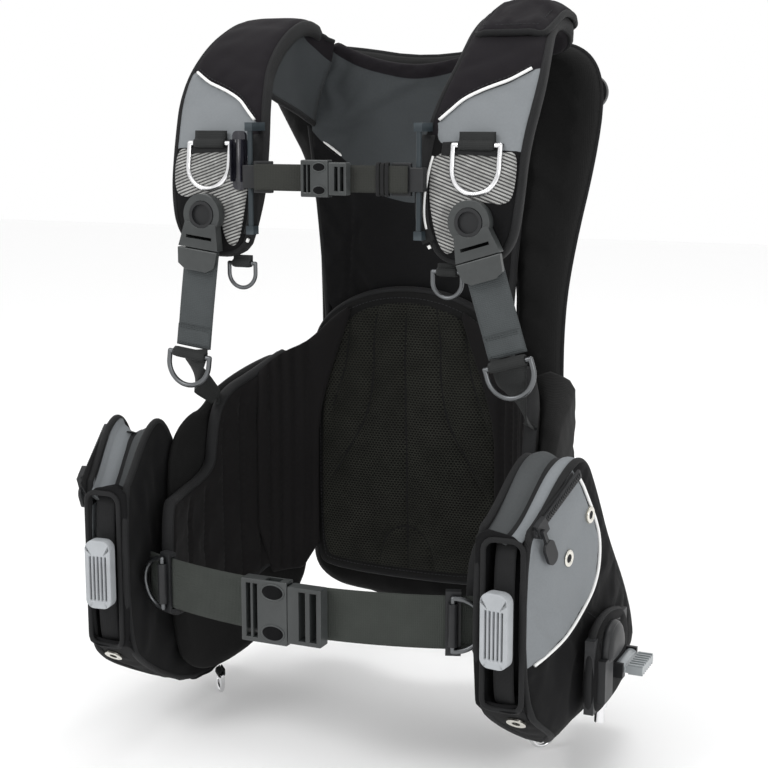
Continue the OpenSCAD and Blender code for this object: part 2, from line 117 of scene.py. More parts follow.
def add_studio():
    world = bpy.data.worlds.new("studio")
    bpy.context.scene.world = world
    world.use_nodes = True
    sky = world.node_tree.nodes["Background"]
    sky.inputs["Color"].default_value = (1, 1, 1, 1)
    sky.inputs["Strength"].default_value = 1.0
    add_light("key", (-0.9, -2.2, 1.7), (0, -0.25, 0.05), 0.9, 20)
    add_light("fill", (1.9, -1.7, 0.7), (0.1, -0.25, -0.05), 1.0, 12)
    add_light("top", (0.2, 0.4, 2.2), (0, -0.2, 0.1), 0.8, 12)
    bpy.context.scene.view_settings.view_transform = "Standard"
    size, low = 6.0, cad_box[0][2] - 0.003
    mesh = bpy.data.meshes.new("floor")
    mesh.from_pydata([(x * size, y * size, low) for x, y in ((-1, -1), (1, -1), (1, 1), (-1, 1))], [],
                     [(0, 1, 2, 3)])
    floor = bpy.data.objects.new("floor", mesh)
    bpy.context.scene.collection.objects.link(floor)
    mat = bpy.data.materials.new("floor_paint")
    mat.use_nodes = True
    paint = mat.node_tree.nodes["Principled BSDF"]
    paint.inputs["Base Color"].default_value = WHITE
    paint.inputs["Roughness"].default_value = 0.9
    mesh.materials.append(mat)


# ---------- materials ----------

WAVE_PERIOD = 0.314159


class Shader:
    """A node material, built by chaining nodes."""

    def __init__(self, name):
        self.mat = bpy.data.materials.new(name)
        self.mat.use_nodes = True
        self.tree = self.mat.node_tree
        self.out = self.tree.nodes["Principled BSDF"]

    def node(self, kind, props=None, **inputs):
        n = self.tree.nodes.new("ShaderNode" + kind)
        for key, value in (props or {}).items():
            setattr(n, key, value)
        for key, value in inputs.items():
            place = int(key[1:]) if key[0] == "i" and key[1:].isdigit() else key.replace("_", " ")
            self.put(n.inputs[place], value)
        return n

    def put(self, socket, value):
        if isinstance(value, bpy.types.NodeSocket):
            self.tree.links.new(value, socket)
        else:
            socket.default_value = value

    def set(self, **inputs):
        for key, value in inputs.items():
            self.put(self.out.inputs[key.replace("_", " ")], value)

    def maths(self, operation, a, b=0.0, c=0.0):
        return self.node("Math", {"operation": operation}, i0=a, i1=b, i2=c).outputs[0]

    def coords(self, follow):
        """The place along the cloth, or else the place in the object."""
        if follow:
            return self.node("Attribute", {"attribute_name": "flow"}).outputs["Vector"]
        return self.node("TexCoord").outputs["Object"]

    def noise(self, where, scale, detail=3.0):
        return self.node("TexNoise", Vector=where, Scale=scale, Detail=detail).outputs[0]

    def wave(self, where, period, axis):
        """Lines across one axis, period in metres. A wave texture of scale 1 repeats every pi / 10."""
        return self.node("TexWave", {"bands_direction": axis}, Vector=where, Scale=WAVE_PERIOD / period,
                         Detail=1.0).outputs["Fac"]

    def shades(self, base, amount, by):
        """Base colour, darker and lighter by amount, as by goes from 0.3 to 0.7."""
        ramp = self.node("ValToRGB", i0=by)
        for stop, place, gain in zip(ramp.color_ramp.elements, (0.3, 0.7), (1 - amount, 1 + amount)):
            stop.position = place
            stop.color = [c * gain for c in base] + [1]
        return ramp.outputs[0]

    def mix(self, fac, a, b):
        n = self.node("Mix", {"data_type": "RGBA"}, i0=fac)
        self.put(n.inputs[6], a)
        self.put(n.inputs[7], b)
        return n.outputs[2]

    def bump(self, height, strength, distance):
        n = self.node("Bump", Height=height, Strength=strength, Distance=distance)
        self.put(self.out.inputs["Normal"], n.outputs[0])


def rgba(c, gain=1.0):
    return (c[0] * gain, c[1] * gain, c[2] * gain, 1)


def fabric(name, base, weave=1.3, depth=0.3, rough=0.82, mottle=0.16, sheen=0.03, shine=0.08):
    """Coated cloth: a fine weave in bump, soft colour changes and a little sheen."""
    s = Shader(name)
    where = s.coords(True)
    cloud = s.noise(where, 14, 4)
    grain = s.noise(where, 420, 2)
    colour = s.shades(base, mottle, s.maths("MULTIPLY_ADD", grain, 0.35, s.maths("MULTIPLY", cloud, 0.65)))
    weft = s.wave(where, weave * MM, "X")
    warp = s.wave(where, weave * MM, "Y")
    threads = s.maths("MULTIPLY", weft, warp)
    colour = s.mix(s.maths("MULTIPLY", threads, 0.3), colour, rgba(base, 0.6))
    s.set(Base_Color=colour, Roughness=s.maths("MULTIPLY_ADD", cloud, 0.2, rough - 0.1),
          Sheen_Weight=sheen, Sheen_Roughness=0.5, Specular_IOR_Level=shine)
    creases = s.maths("MULTIPLY", s.noise(where, 55, 3), 3.0)
    s.bump(s.maths("ADD", threads, creases), depth, 0.0006)
    return s.mat


def webbing(name, base, rib=1.7, rough=0.7, mottle=0.14, shine=0.12):
    """Woven strap: ribs across the strap and two rows along it."""
    s = Shader(name)
    where = s.coords(True)
    ribs = s.wave(where, rib * MM, "Y")
    rows = s.wave(where, 2.4 * MM, "X")
    cloud = s.noise(where, 30, 3)
    weave = s.maths("MULTIPLY_ADD", rows, 0.45, ribs)
    colour = s.shades(base, mottle, s.maths("MULTIPLY_ADD", cloud, 0.7, s.maths("MULTIPLY", weave, 0.2)))
    s.set(Base_Color=colour, Roughness=rough, Sheen_Weight=0.03, Specular_IOR_Level=shine)
    s.bump(weave, 0.45, 0.0005)
    return s.mat


def knit(name, base, gap, across, along, size=0.34):
    """Open knit: rows of small holes, gap coloured, set across and along in mm."""
    s = Shader(name)
    parts = s.node("SeparateXYZ", Vector=s.coords(True))
    a = s.maths("DIVIDE", parts.outputs[0], across * MM)
    b = s.maths("DIVIDE", parts.outputs[1], along * MM)
    shift = s.maths("MULTIPLY", s.maths("MODULO", s.maths("FLOOR", s.maths("ADD", b, 400.0)), 2.0), 0.5)
    u = s.maths("SUBTRACT", s.maths("FRACT", s.maths("ADD", s.maths("ADD", a, shift), 400.0)), 0.5)
    v = s.maths("SUBTRACT", s.maths("FRACT", s.maths("ADD", b, 400.0)), 0.5)
    far = s.maths("SQRT", s.maths("ADD", s.maths("MULTIPLY", u, u), s.maths("MULTIPLY", v, v)))
    hole = s.node("MapRange", Value=far, From_Min=size - 0.1, From_Max=size + 0.1).outputs[0]
    cloud = s.noise(s.coords(True), 40, 3)
    colour = s.mix(hole, rgba(gap), s.shades(base, 0.22, cloud))
    s.set(Base_Color=colour, Roughness=0.75, Sheen_Weight=0.02, Specular_IOR_Level=0.08)
    s.bump(hole, 0.7, 0.0008)
    return s.mat


def ribbed(name, base, gap, pitch, lean):
    """Open ribs of fine threads with dark gaps between them."""
    s = Shader(name)
    parts = s.node("SeparateXYZ", Vector=s.coords(True))
    run = s.maths("MULTIPLY_ADD", parts.outputs[0], lean, parts.outputs[1])
    hump = s.maths("SINE", s.maths("MULTIPLY", run, 2 * math.pi / (pitch * MM)))
    strand = s.maths("MULTIPLY_ADD", run, 0.5, parts.outputs[0])
    thread = s.maths("SINE", s.maths("MULTIPLY", strand, 2 * math.pi / (1.5 * MM)))
    mass = s.maths("MULTIPLY_ADD", thread, 0.35, hump)
    cover = s.node("MapRange", Value=mass, From_Min=-0.55, From_Max=0.35).outputs[0]
    colour = s.mix(cover, rgba(gap), s.shades(base, 0.25, s.noise(s.coords(True), 90, 3)))
    s.set(Base_Color=colour, Roughness=0.6, Specular_IOR_Level=0.3)
    s.bump(mass, 0.5, 0.0006)
    return s.mat


def plastic(name, base, rough=0.45, grain=900, depth=0.12, wear=0.5, shine=0.3):
    """Moulded plastic: fine grain, and paler where edges rub."""
    s = Shader(name)
    where = s.coords(False)
    cloud = s.noise(where, 35, 4)
    edge = s.node("MapRange", Value=s.node("NewGeometry").outputs["Pointiness"], From_Min=0.51,
                  From_Max=0.6).outputs[0]
    rub = s.maths("MULTIPLY", s.maths("MULTIPLY", edge, s.noise(where, 160, 3)), wear)
    colour = s.mix(rub, s.shades(base, 0.1, cloud), tuple(min(c * 2.2 + 0.04, 0.9) for c in base) + (1,))
    s.set(Base_Color=colour, Roughness=s.maths("MULTIPLY_ADD", cloud, 0.16, rough - 0.08),
          Specular_IOR_Level=shine)
    s.bump(s.noise(where, grain, 2), depth, 0.0003)
    return s.mat


def metal(name, base, rough=0.18, scratch=0.25):
    """Polished or coated metal with fine drawn lines and smudges."""
    s = Shader(name)
    where = s.coords(False)
    smudge = s.noise(where, 60, 4)
    lines = s.noise(s.node("Mapping", Vector=where, Scale=(60, 60, 900)).outputs[0], 4, 2)
    s.set(Base_Color=s.shades(base, 0.08, smudge), Metallic=1.0,
          Roughness=s.maths("MULTIPLY_ADD", smudge, scratch, rough))
    s.bump(lines, 0.08, 0.0002)
    return s.mat


BLACK = (0.0062, 0.0062, 0.0066)
RIB_PITCH, RIB_LEAN = 3.2, 0.35
M = {
    "black": fabric("black_cloth", BLACK, mottle=0.25),
    "neoprene": fabric("black_neoprene", (0.012, 0.0106, 0.0125), weave=0.9, depth=0.18, rough=0.88),
    "wing": fabric("wing_cloth", (0.0088, 0.0082, 0.0084), weave=0.9, depth=0.22, rough=0.85),
    "charcoal": fabric("charcoal_cloth", (0.0085, 0.0085, 0.0085), weave=1.6, mottle=0.2),
    "lining": fabric("dark_lining", (0.004, 0.004, 0.0045)),
    "grey": fabric("grey_cloth", (0.185, 0.198, 0.208), weave=1.1, depth=0.2, rough=0.75, mottle=0.07,
                   shine=0.2),
    "slate": fabric("slate_cloth", (0.062, 0.066, 0.068), weave=1.1, depth=0.25, rough=0.8, mottle=0.12),
    "yoke": fabric("yoke_cloth", (0.05, 0.055, 0.058), weave=1.1, depth=0.2, rough=0.8, mottle=0.12),
    "binding": webbing("edge_binding", (0.014, 0.0142, 0.0148), rib=1.2),
    "belt": webbing("belt_webbing", (0.036, 0.04, 0.036)),
    "strap": webbing("strap_webbing", (0.056, 0.062, 0.064)),
    "dark_strap": webbing("chest_webbing", (0.028, 0.029, 0.026)),
    "tab": webbing("tab_webbing", (0.022, 0.023, 0.023)),
    "stitch": fabric("stitch_thread", (0.03, 0.031, 0.033), weave=0.6),
    "piping": fabric("reflective_piping", (0.83, 0.83, 0.82), weave=0.8, rough=0.5, mottle=0.04, sheen=0.0),
    "back_mesh": knit("spacer_knit", (0.019, 0.0195, 0.016), (0.002, 0.002, 0.002), 3.6, 2.6),
    "ribbed": ribbed("ribbed_knit", (0.33, 0.33, 0.32), (0.03, 0.03, 0.03), RIB_PITCH, RIB_LEAN),
    "plastic": plastic("black_acetal", (0.009, 0.0095, 0.0105)),
    "buckle": plastic("buckle_acetal", (0.026, 0.029, 0.029), rough=0.36, shine=0.45),
    "frame": plastic("frame_nylon", (0.02, 0.02, 0.021), rough=0.55, grain=500, depth=0.3),
    "rail": plastic("rail_nylon", (0.02, 0.028, 0.033), rough=0.45),
    "handle": plastic("handle_rubber", (0.33, 0.345, 0.36), rough=0.6, wear=0.1),
    "lever": plastic("lever_plastic", (0.25, 0.27, 0.28), rough=0.3, wear=0.3, shine=0.6),
    "rubber": plastic("clip_rubber", (0.01, 0.01, 0.016), rough=0.22, wear=0.2, shine=0.6),
    "steel": metal("polished_steel", (0.74, 0.74, 0.75), 0.12, 0.18),
    "gunmetal": metal("gunmetal", (0.13, 0.135, 0.14), 0.25, 0.25),
    "nickel": metal("nickel_plate", (0.7, 0.68, 0.62), 0.16, 0.2),
}


# ---------- curves ----------

def catmull(points, closed=False, steps=12):
    """A smooth curve through points."""
    p = np.array(points, float)
    count = len(p)
    t = (np.arange(steps) / steps)[:, None]
    out = []
    for i in range(count if closed else count - 1):
        if closed:
            a, b, c, d = p[i - 1], p[i], p[(i + 1) % count], p[(i + 2) % count]
        else:
            a, b, c, d = p[max(i - 1, 0)], p[i], p[i + 1], p[min(i + 2, count - 1)]
        out.append(0.5 * (2 * b + (c - a) * t + (2 * a - 5 * b + 4 * c - d) * t ** 2
                          + (3 * b - a - 3 * c + d) * t ** 3))
    if not closed:
        out.append(p[-1:])
    return np.vstack(out)


def rounded(points, times=2):
    """A closed outline with its corners cut, again and again."""
    p = np.array(points, float)
    for _ in range(times):
        q = np.roll(p, -1, axis=0)
        p = np.stack([p * 0.75 + q * 0.25, p * 0.25 + q * 0.75], 1).reshape(-1, p.shape[1])
    return p


def unit(v):
    """The same directions, one unit long."""
    return v / np.maximum(np.linalg.norm(v, axis=-1, keepdims=True), 1e-9)


def mirrored(points):
    return [(-x, z) for x, z in points]


def sideways(loop):
    """A unit vector across a closed outline at each of its points."""
    ahead = np.roll(loop, -1, axis=0) - np.roll(loop, 1, axis=0)
    return unit(np.stack([-ahead[:, 1], ahead[:, 0]], 1))


def length_along(p):
    return np.r_[0, np.cumsum(np.linalg.norm(np.diff(p, axis=0), axis=1))]


def resample(p, step, closed=False):
    """The same line with its points about a step apart."""
    p = np.array(p, float)
    q = np.vstack([p, p[:1]]) if closed else p
    s = length_along(q)
    count = max(int(round(s[-1] / step)), 3 if closed else 1)
    t = np.linspace(0, s[-1], count + 1)
    t = t[:-1] if closed else t
    return np.stack([np.interp(t, s, q[:, i]) for i in range(q.shape[1])], 1)


def distance(points, path, closed=False):
    """Each point's distance from a line of straight runs in its plane."""
    a = path if closed else path[:-1]
    b = np.roll(path, -1, axis=0) if closed else path[1:]
    best = np.full(len(points), 1e9)
    for p, q in zip(a, b):
        d = q - p
        t = np.clip(((points - p) @ d) / max(d @ d, 1e-9), 0, 1)
        best = np.minimum(best, np.linalg.norm(points - p - t[:, None] * d, axis=1))
    return best


def inside(points, loop):
    """Which points lie inside a closed outline."""
    x, y = points[:, 0], points[:, 1]
    odd = np.zeros(len(points), bool)
    for (x0, y0), (x1, y1) in zip(loop, np.roll(loop, -1, axis=0)):
        if y0 != y1:
            odd ^= ((y0 > y) != (y1 > y)) & (x < (x1 - x0) * (y - y0) / (y1 - y0) + x0)
    return odd


def fill(loops, cuts, step, rings):
    """Triangles that fill the first loop, less the others, with edges along the cuts."""
    points, edges = [], []

    def chain(line, closed):
        base = len(points)
        points.extend(line)
        count = len(line)
        edges.extend((base + i, base + (i + 1) % count) for i in range(count if closed else count - 1))

    for loop in loops:
        chain(loop, True)
    for cut in cuts:
        chain(cut, False)
    low, high = loops[0].min(0), loops[0].max(0)
    rows = np.arange(low[1], high[1], step * 0.87)
    grid = np.array([(x + (step / 2 if i % 2 else 0), y) for i, y in enumerate(rows)
                     for x in np.arange(low[0], high[0], step)])
    extra = [grid]
    for loop in loops:
        side = sideways(loop)
        for r in rings:
            extra += [loop + side * r, loop - side * r]
    kept = []
    for i, cloud in enumerate(extra):
        room = np.min([distance(cloud, loop, True) for loop in loops], axis=0)
        need = rings[-1] + step * 0.4 if i == 0 else rings[(i - 1) // 2 % len(rings)] * 0.97
        ok = inside(cloud, loops[0]) & (room > need)
        for loop in loops[1:]:
            ok &= ~inside(cloud, loop)
        for cut in cuts:
            ok &= distance(cloud, cut) > step * 0.45
        kept.append(cloud[ok])
    points.extend(np.vstack(kept))
    flat, _, faces, *_ = delaunay_2d_cdt([Vector(p) for p in points], edges, [], 0, 1e-4)
    flat = np.array([tuple(p) for p in flat])
    faces = np.array([f for f in faces if len(f) == 3])
    mid = flat[faces].mean(1)
    keep = inside(mid, loops[0])
    for loop in loops[1:]:
        keep &= ~inside(mid, loop)
    faces = faces[keep]
    used = np.unique(faces)
    index = np.full(len(flat), -1)
    index[used] = np.arange(len(used))
    return flat[used], index[faces]


# ---------- meshes ----------

def new_object(name, verts, faces, flow, mats, slots=None):
    """An object from points in mm; flow is each point's place along the cloth, in mm."""
    mesh = bpy.data.meshes.new(name)
    mesh.from_pydata((np.asarray(verts) * MM).tolist(), [], [tuple(int(i) for i in f) for f in faces])
    for mat in mats:
        mesh.materials.append(mat)
    if slots is not None:
        mesh.polygons.foreach_set("material_index", np.asarray(slots, np.int32))
    data = mesh.attributes.new("flow", "FLOAT_VECTOR", "POINT")
    data.data.foreach_set("vector", (np.asarray(flow) * MM).astype(np.float32).ravel())
    bm = bmesh.new()
    bm.from_mesh(mesh)
    bmesh.ops.recalc_face_normals(bm, faces=bm.faces)
    bm.to_mesh(mesh)
    bm.free()
    mesh.polygons.foreach_set("use_smooth", [True] * len(mesh.polygons))
    obj = bpy.data.objects.new(name, mesh)
    bpy.context.scene.collection.objects.link(obj)
    return obj


def finish_piece(obj, body, replaced=()):
    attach(obj, body)
    if replaced:
        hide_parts(*replaced)
    return obj


def panel_out(place, a, b):
    """A panel's outward directions at points in its own plane."""
    ones = np.ones(len(a))
    return unit(place(a, b, ones) - place(a, b, -ones))


# Pads that wait for the cloth simulation: the object, its held points and (pressure, cap in mm, slack)
CLOTH = []


def pad(name, outline, place, mats, holes=(), zones=(), lines=(), folds=(), step=4.5, edge=7.0,
        swell=(2.5, 1.0), groove=1.4, reach=14.0, corner=2, cloth=None, relief=None, marks=(),
        uneven=0.35):
    """A stuffed panel. outline, holes, zones, lines and folds lie in the panel's own plane; place takes
    points there and a depth from -1, back, to 1, front, to the vest's frame. marks are colour borders."""
    loops = [resample(rounded(outline, corner), step, True)] + [resample(h, step, True) for h in holes]
    cuts = []
    for line in list(lines) + list(marks):
        cut = resample(catmull(line), step)
        ok = inside(cut, loops[0]) & (distance(cut, loops[0], True) > step * 0.3)
        if ok.sum() > 1:
            cuts.append(cut[ok])
    rings = [edge * 0.12, edge * 0.38, edge * 0.8]
    flat, faces = fill(loops, cuts, step, rings)
    rim = np.min([distance(flat, loop, True) for loop in loops], axis=0)
    seams = [resample(catmull(line), step) for line in lines]
    seam = np.min([distance(flat, s) for s in seams], axis=0) if seams else np.full(len(flat), 1e3)
    depth = np.sqrt(1 - (1 - np.clip(rim / edge, 0, 1)) ** 2)
    a, b = flat[:, 0], flat[:, 1]
    out = panel_out(place, a, b)
    full = 1 - np.exp(-np.minimum(rim, seam) / reach)
    rise = swell[0] * full - groove * np.exp(-(seam / 2.6) ** 2) * (rim > 1)
    for path, width, height in folds:
        away = distance(flat, resample(catmull(path), step))
        rise += height * np.exp(-(away / width) ** 2) * np.clip(rim / 12, 0, 1)
    drift = (np.sin(a * 0.11 + 1.3) * np.sin(b * 0.083 + 0.4) + 0.6 * np.sin(a * 0.05 - b * 0.13 + 2)
             + 0.4 * np.sin(a * 0.21 + b * 0.17 + len(name)))
    rise += uneven * drift * np.clip(rim / 14, 0, 1)
    if relief:
        rise += relief(a, b) * np.clip(rim / 3, 0, 1)
    front = place(a, b, depth) + out * rise[:, None]
    back = place(a, b, -depth) - out * (swell[1] * full)[:, None]
    open_rim = rim < 1e-3
    index = np.arange(len(flat))
    partner = index.copy()
    partner[~open_rim] = len(flat) + np.arange((~open_rim).sum())
    verts = np.vstack([front, back[~open_rim]])
    flow = np.vstack([np.c_[a, b, depth * 5], np.c_[a, b, -depth * 5][~open_rim]])
    mid = flat[faces].mean(1)
    kinds = np.zeros(len(faces), int)
    for zone in zones:
        kinds[inside(mid, np.array(zone[0], float))] = zone[1]
    obj = new_object(name, verts, np.vstack([faces, partner[faces][:, ::-1]]), flow, mats, np.r_[kinds, kinds])
    if cloth:
        held = (rim < edge * 0.5) | (seam < 1.5)
        CLOTH.append((obj, np.r_[held, held[~open_rim]], cloth))
    return obj


def run_cloth():
    """Inflates every waiting pad a little, holding its edges and seams, then keeps the result."""
    for obj, held, (pressure, _, slack) in CLOTH:
        group = obj.vertex_groups.new(name="held")
        group.add([int(i) for i in np.nonzero(held)[0]], 1.0, "REPLACE")
        mod = obj.modifiers.new("cloth", "CLOTH")
        cfg = mod.settings
        cfg.quality = 4
        cfg.mass = 0.2
        cfg.tension_stiffness = cfg.compression_stiffness = 12
        cfg.shear_stiffness = 6
        cfg.bending_stiffness = 0.3
        cfg.use_pressure = True
        cfg.uniform_pressure_force = pressure
        cfg.effector_weights.gravity = 0
        cfg.vertex_group_mass = "held"
        cfg.shrink_min = -slack
        mod.collision_settings.use_collision = False
    scene = bpy.context.scene
    for step in range(1, 21):
        scene.frame_set(step)
    graph = bpy.context.evaluated_depsgraph_get()
    for obj, _, (_, cap, _) in CLOTH:
        got = obj.evaluated_get(graph).to_mesh()
        new = np.array([v.co for v in got.vertices])
        old = np.array([v.co for v in obj.data.vertices])
        move = new - old
        size = np.linalg.norm(move, axis=1)
        limit = cap * MM
        soft = limit * np.tanh(size / limit) / np.maximum(size, 1e-9)
        obj.evaluated_get(graph).to_mesh_clear()
        obj.modifiers.clear()
        obj.vertex_groups.clear()
        obj.data.vertices.foreach_set("co", (old + move * soft[:, None]).ravel())
        obj.data.update()
    scene.frame_set(1)


def circle(r, count=10):
    t = np.arange(count) / count * 2 * math.pi
    return np.stack([r * np.cos(t), r * np.sin(t)], 1)


def oval(rx, ry, count=12):
    return circle(1, count) * (rx, ry)


def band_profile(width, thick, rows=9):
    """The cross-section of webbing: rounded edges and two shallow dips along its rows."""
    u = np.linspace(-1, 1, rows)
    half = thick / 2 * (1 - 0.75 * np.abs(u) ** 14) * (1 - 0.12 * np.cos(u * math.pi * 3) ** 2)
    top = np.stack([u * width / 2, half], 1)
    return np.vstack([top, (top * (1, -1))[::-1]])


def sweep(path, profile, normals=None, closed=False, widths=None):
    """Points, faces and flow of a profile carried along a path. normals point out of the profile's face."""
    path = np.array(path, float)
    count = len(path)
    if closed:
        ahead = np.roll(path, -1, axis=0) - np.roll(path, 1, axis=0)
    else:
        ahead = np.gradient(path, axis=0)
    ahead = unit(ahead)
    if normals is None:
        up = np.array([0, 0, 1.0]) if abs(ahead[0][2]) < 0.9 else np.array([1.0, 0, 0])
        normals = []
        for t in ahead:
            up = up - t * (up @ t)
            up /= np.linalg.norm(up)
            normals.append(up)
    n = np.broadcast_to(np.array(normals, float), path.shape)
    n = unit(n - ahead * np.sum(n * ahead, axis=1)[:, None])
    side = np.cross(ahead, n)
    along = length_along(path)
    m = len(profile)
    scale = np.ones(count) if widths is None else np.array(widths, float)
    verts = (path[:, None] + side[:, None] * (profile[:, 0][None, :, None] * scale[:, None, None])
             + n[:, None] * profile[:, 1][None, :, None]).reshape(-1, 3)
    flow = np.stack([np.broadcast_to(profile[:, 0], (count, m)), np.repeat(along[:, None], m, 1),
                     np.broadcast_to(profile[:, 1], (count, m))], 2).reshape(-1, 3)
    faces = []
    for i in range(count if closed else count - 1):
        j = (i + 1) % count
        faces += [(i * m + k, i * m + (k + 1) % m, j * m + (k + 1) % m, j * m + k) for k in range(m)]
    if not closed:
        faces += [tuple(range(m))[::-1], tuple((count - 1) * m + k for k in range(m))]
    return verts, faces, flow


def stitches(path, pitch=4.2, long=2.8, r=0.42):
    """A row of short threads along a path."""
    path = resample(path, pitch / 2)
    parts = []
    for i in range(0, len(path) - 1, 2):
        mid = (path[i] + path[i + 1]) / 2
        t = path[i + 1] - path[i]
        t /= max(np.linalg.norm(t), 1e-9)
        line = [mid - t * long / 2, mid - t * long / 3, mid + t * long / 3, mid + t * long / 2]
        parts.append(sweep(line, circle(r, 5), widths=[0.3, 1, 1, 0.3]))
    return parts


def one_mesh(name, parts, mat):
    """One object from several swept parts."""
    verts, faces, flow, base = [], [], [], 0
    for v, f, w in parts:
        verts.append(v)
        flow.append(w)
        faces += [tuple(i + base for i in face) for face in f]
        base += len(v)
    return new_object(name, np.vstack(verts), faces, np.vstack(flow), [mat])


def joined(name, parts, mat, body, replaced=()):
    return finish_piece(one_mesh(name, parts, mat), body, replaced)


def on_panel(place, line, k=1.0, lift=0.0, step=4.0, closed=False, smooth=True):
    """A line in a panel's plane, brought to its surface: the points and the outward normals there."""
    p = catmull(line, closed) if smooth else np.array(line, float)
    p = resample(p, step, closed)
    out = panel_out(place, p[:, 0], p[:, 1])
    return place(p[:, 0], p[:, 1], np.full(len(p), k)) + out * lift, out


def grid_cloth(name, grid, thick, mats, pick=None):
    """A closed sheet of cloth from rows and columns of points in mm, half its thickness to each side."""
    n, m = grid.shape[:2]
    out = unit(np.cross(np.gradient(grid, axis=0), np.gradient(grid, axis=1)))
    verts = np.vstack([(grid + out * thick / 2 * side).reshape(-1, 3) for side in (1, -1)])
    u, v = length_along(grid[:, m // 2]), length_along(grid[n // 2])
    flow = np.stack([np.tile(v, (n, 1)), np.tile(u[:, None], (1, m)), np.zeros((n, m))], 2)
    flow = np.tile(flow.reshape(-1, 3), (2, 1))
    faces, kinds, low = [], [], n * m
    for i in range(n - 1):
        for j in range(m - 1):
            a, b, c, d = i * m + j, i * m + j + 1, (i + 1) * m + j + 1, (i + 1) * m + j
            faces += [(a, b, c, d), (low + d, low + c, low + b, low + a)]
            kinds += [pick(i / (n - 1), j / (m - 1)) if pick else 0] * 2
    rim = [(0, j) for j in range(m)] + [(i, m - 1) for i in range(1, n)]
    rim += [(n - 1, j) for j in range(m - 2, -1, -1)] + [(i, 0) for i in range(n - 2, 0, -1)]
    ids = [i * m + j for i, j in rim]
    for a, b in zip(ids, ids[1:] + ids[:1]):
        faces.append((a, b, low + b, low + a))
        kinds.append(0)
    return new_object(name, verts, faces, flow, mats, kinds)


# Small parts of the body, joined into one piece of each kind at the end
DETAIL = {"piping": [], "binding": [], "stitch": [], "eyelet": []}


# ---------- the panels' planes ----------

def flat_plane(front, back):
    """Points in X and Z; depth runs from back to front in Y."""
    def place(a, b, k):
        return np.stack([a, (front + back) / 2 - k * (back - front) / 2 + 0 * a, b], 1)
    return place


def arc_x(y, centre, r):
    return centre[0] + np.sqrt(np.maximum(r * r - (y - centre[1]) ** 2, 1))


def arc_plane(s, low, high):
    """Points in Y and Z; depth runs in X from low to high, each a function of y and z."""
    def place(a, b, k):
        x0, x1 = low(a, b), high(a, b)
        return np.stack([s * (x0 + (x1 - x0) * (k + 1) / 2), a, b], 1)
    return place


def profile_plane(s, outer, inner):
    """Points in X and along an arched side profile; depth runs from inner to outer."""
    out, inn = catmull(outer), catmull(inner)
    along = length_along(out)

    def place(a, b, k):
        at = [np.interp(b, along, c) for c in (out[:, 0], out[:, 1], inn[:, 0], inn[:, 1])]
        m = (k + 1) / 2
        return np.stack([s * a, at[2] + (at[0] - at[2]) * m, at[3] + (at[1] - at[3]) * m], 1)
    return place


def lifted(place, low, high):
    """The space from low to high mm over a panel's front."""
    def over(a, b, k):
        rise = low + (high - low) * (k + 1) / 2
        return place(a, b, np.ones(len(a))) + panel_out(place, a, b) * rise[:, None]
    return over


def pipe(place, line, lift, r):
    """A round cord along a line on a panel."""
    at, out = on_panel(place, line, 1.0, lift)
    DETAIL["piping"].append(sweep(at, circle(r), out))


def edging(place, line, rx, ry, closed=True, smooth=False, k=0.0, lift=0.0):
    """A rolled edge along a line, halfway through a panel unless k says otherwise."""
    at, out = on_panel(place, line, k, lift, 4.0, closed, smooth)
    DETAIL["binding"].append(sweep(at, oval(rx, ry), out, closed))


def tape(place, line, lift, width, thick):
    """A flat strip of webbing on a panel."""
    at, out = on_panel(place, line, 1.0, lift)
    DETAIL["binding"].append(sweep(at, band_profile(width, thick), out))


def sew(place, line, lift, closed=False):
    """A row of stitches on a panel. A closed line is taken as it is, an open one is smoothed."""
    at, _ = on_panel(place, line, 1.0, lift, 4.0, closed, not closed)
    DETAIL["stitch"].extend(stitches(np.vstack([at, at[:1]]) if closed else at))


def inset(outline, by):
    """A closed outline drawn in."""
    loop = resample(rounded(outline), 4.0, True)
    side = sideways(loop)
    trial = loop + side * by
    return trial if inside(trial, loop).mean() > 0.5 else loop - side * by


def bind(place, outline, wide, deep):
    """A rolled edge binding round a panel."""
    edging(place, inset(outline, 1.4), wide, deep)


# ---------- yoke and back pad ----------

YOKE_HALF = [(104, 32), (110, 120), (117, 190), (125, 262), (122, 292), (101, 314), (98, 345), (75, 333),
             (40, 321)]
YOKE = YOKE_HALF + [(0, 316)] + mirrored(YOKE_HALF[::-1])


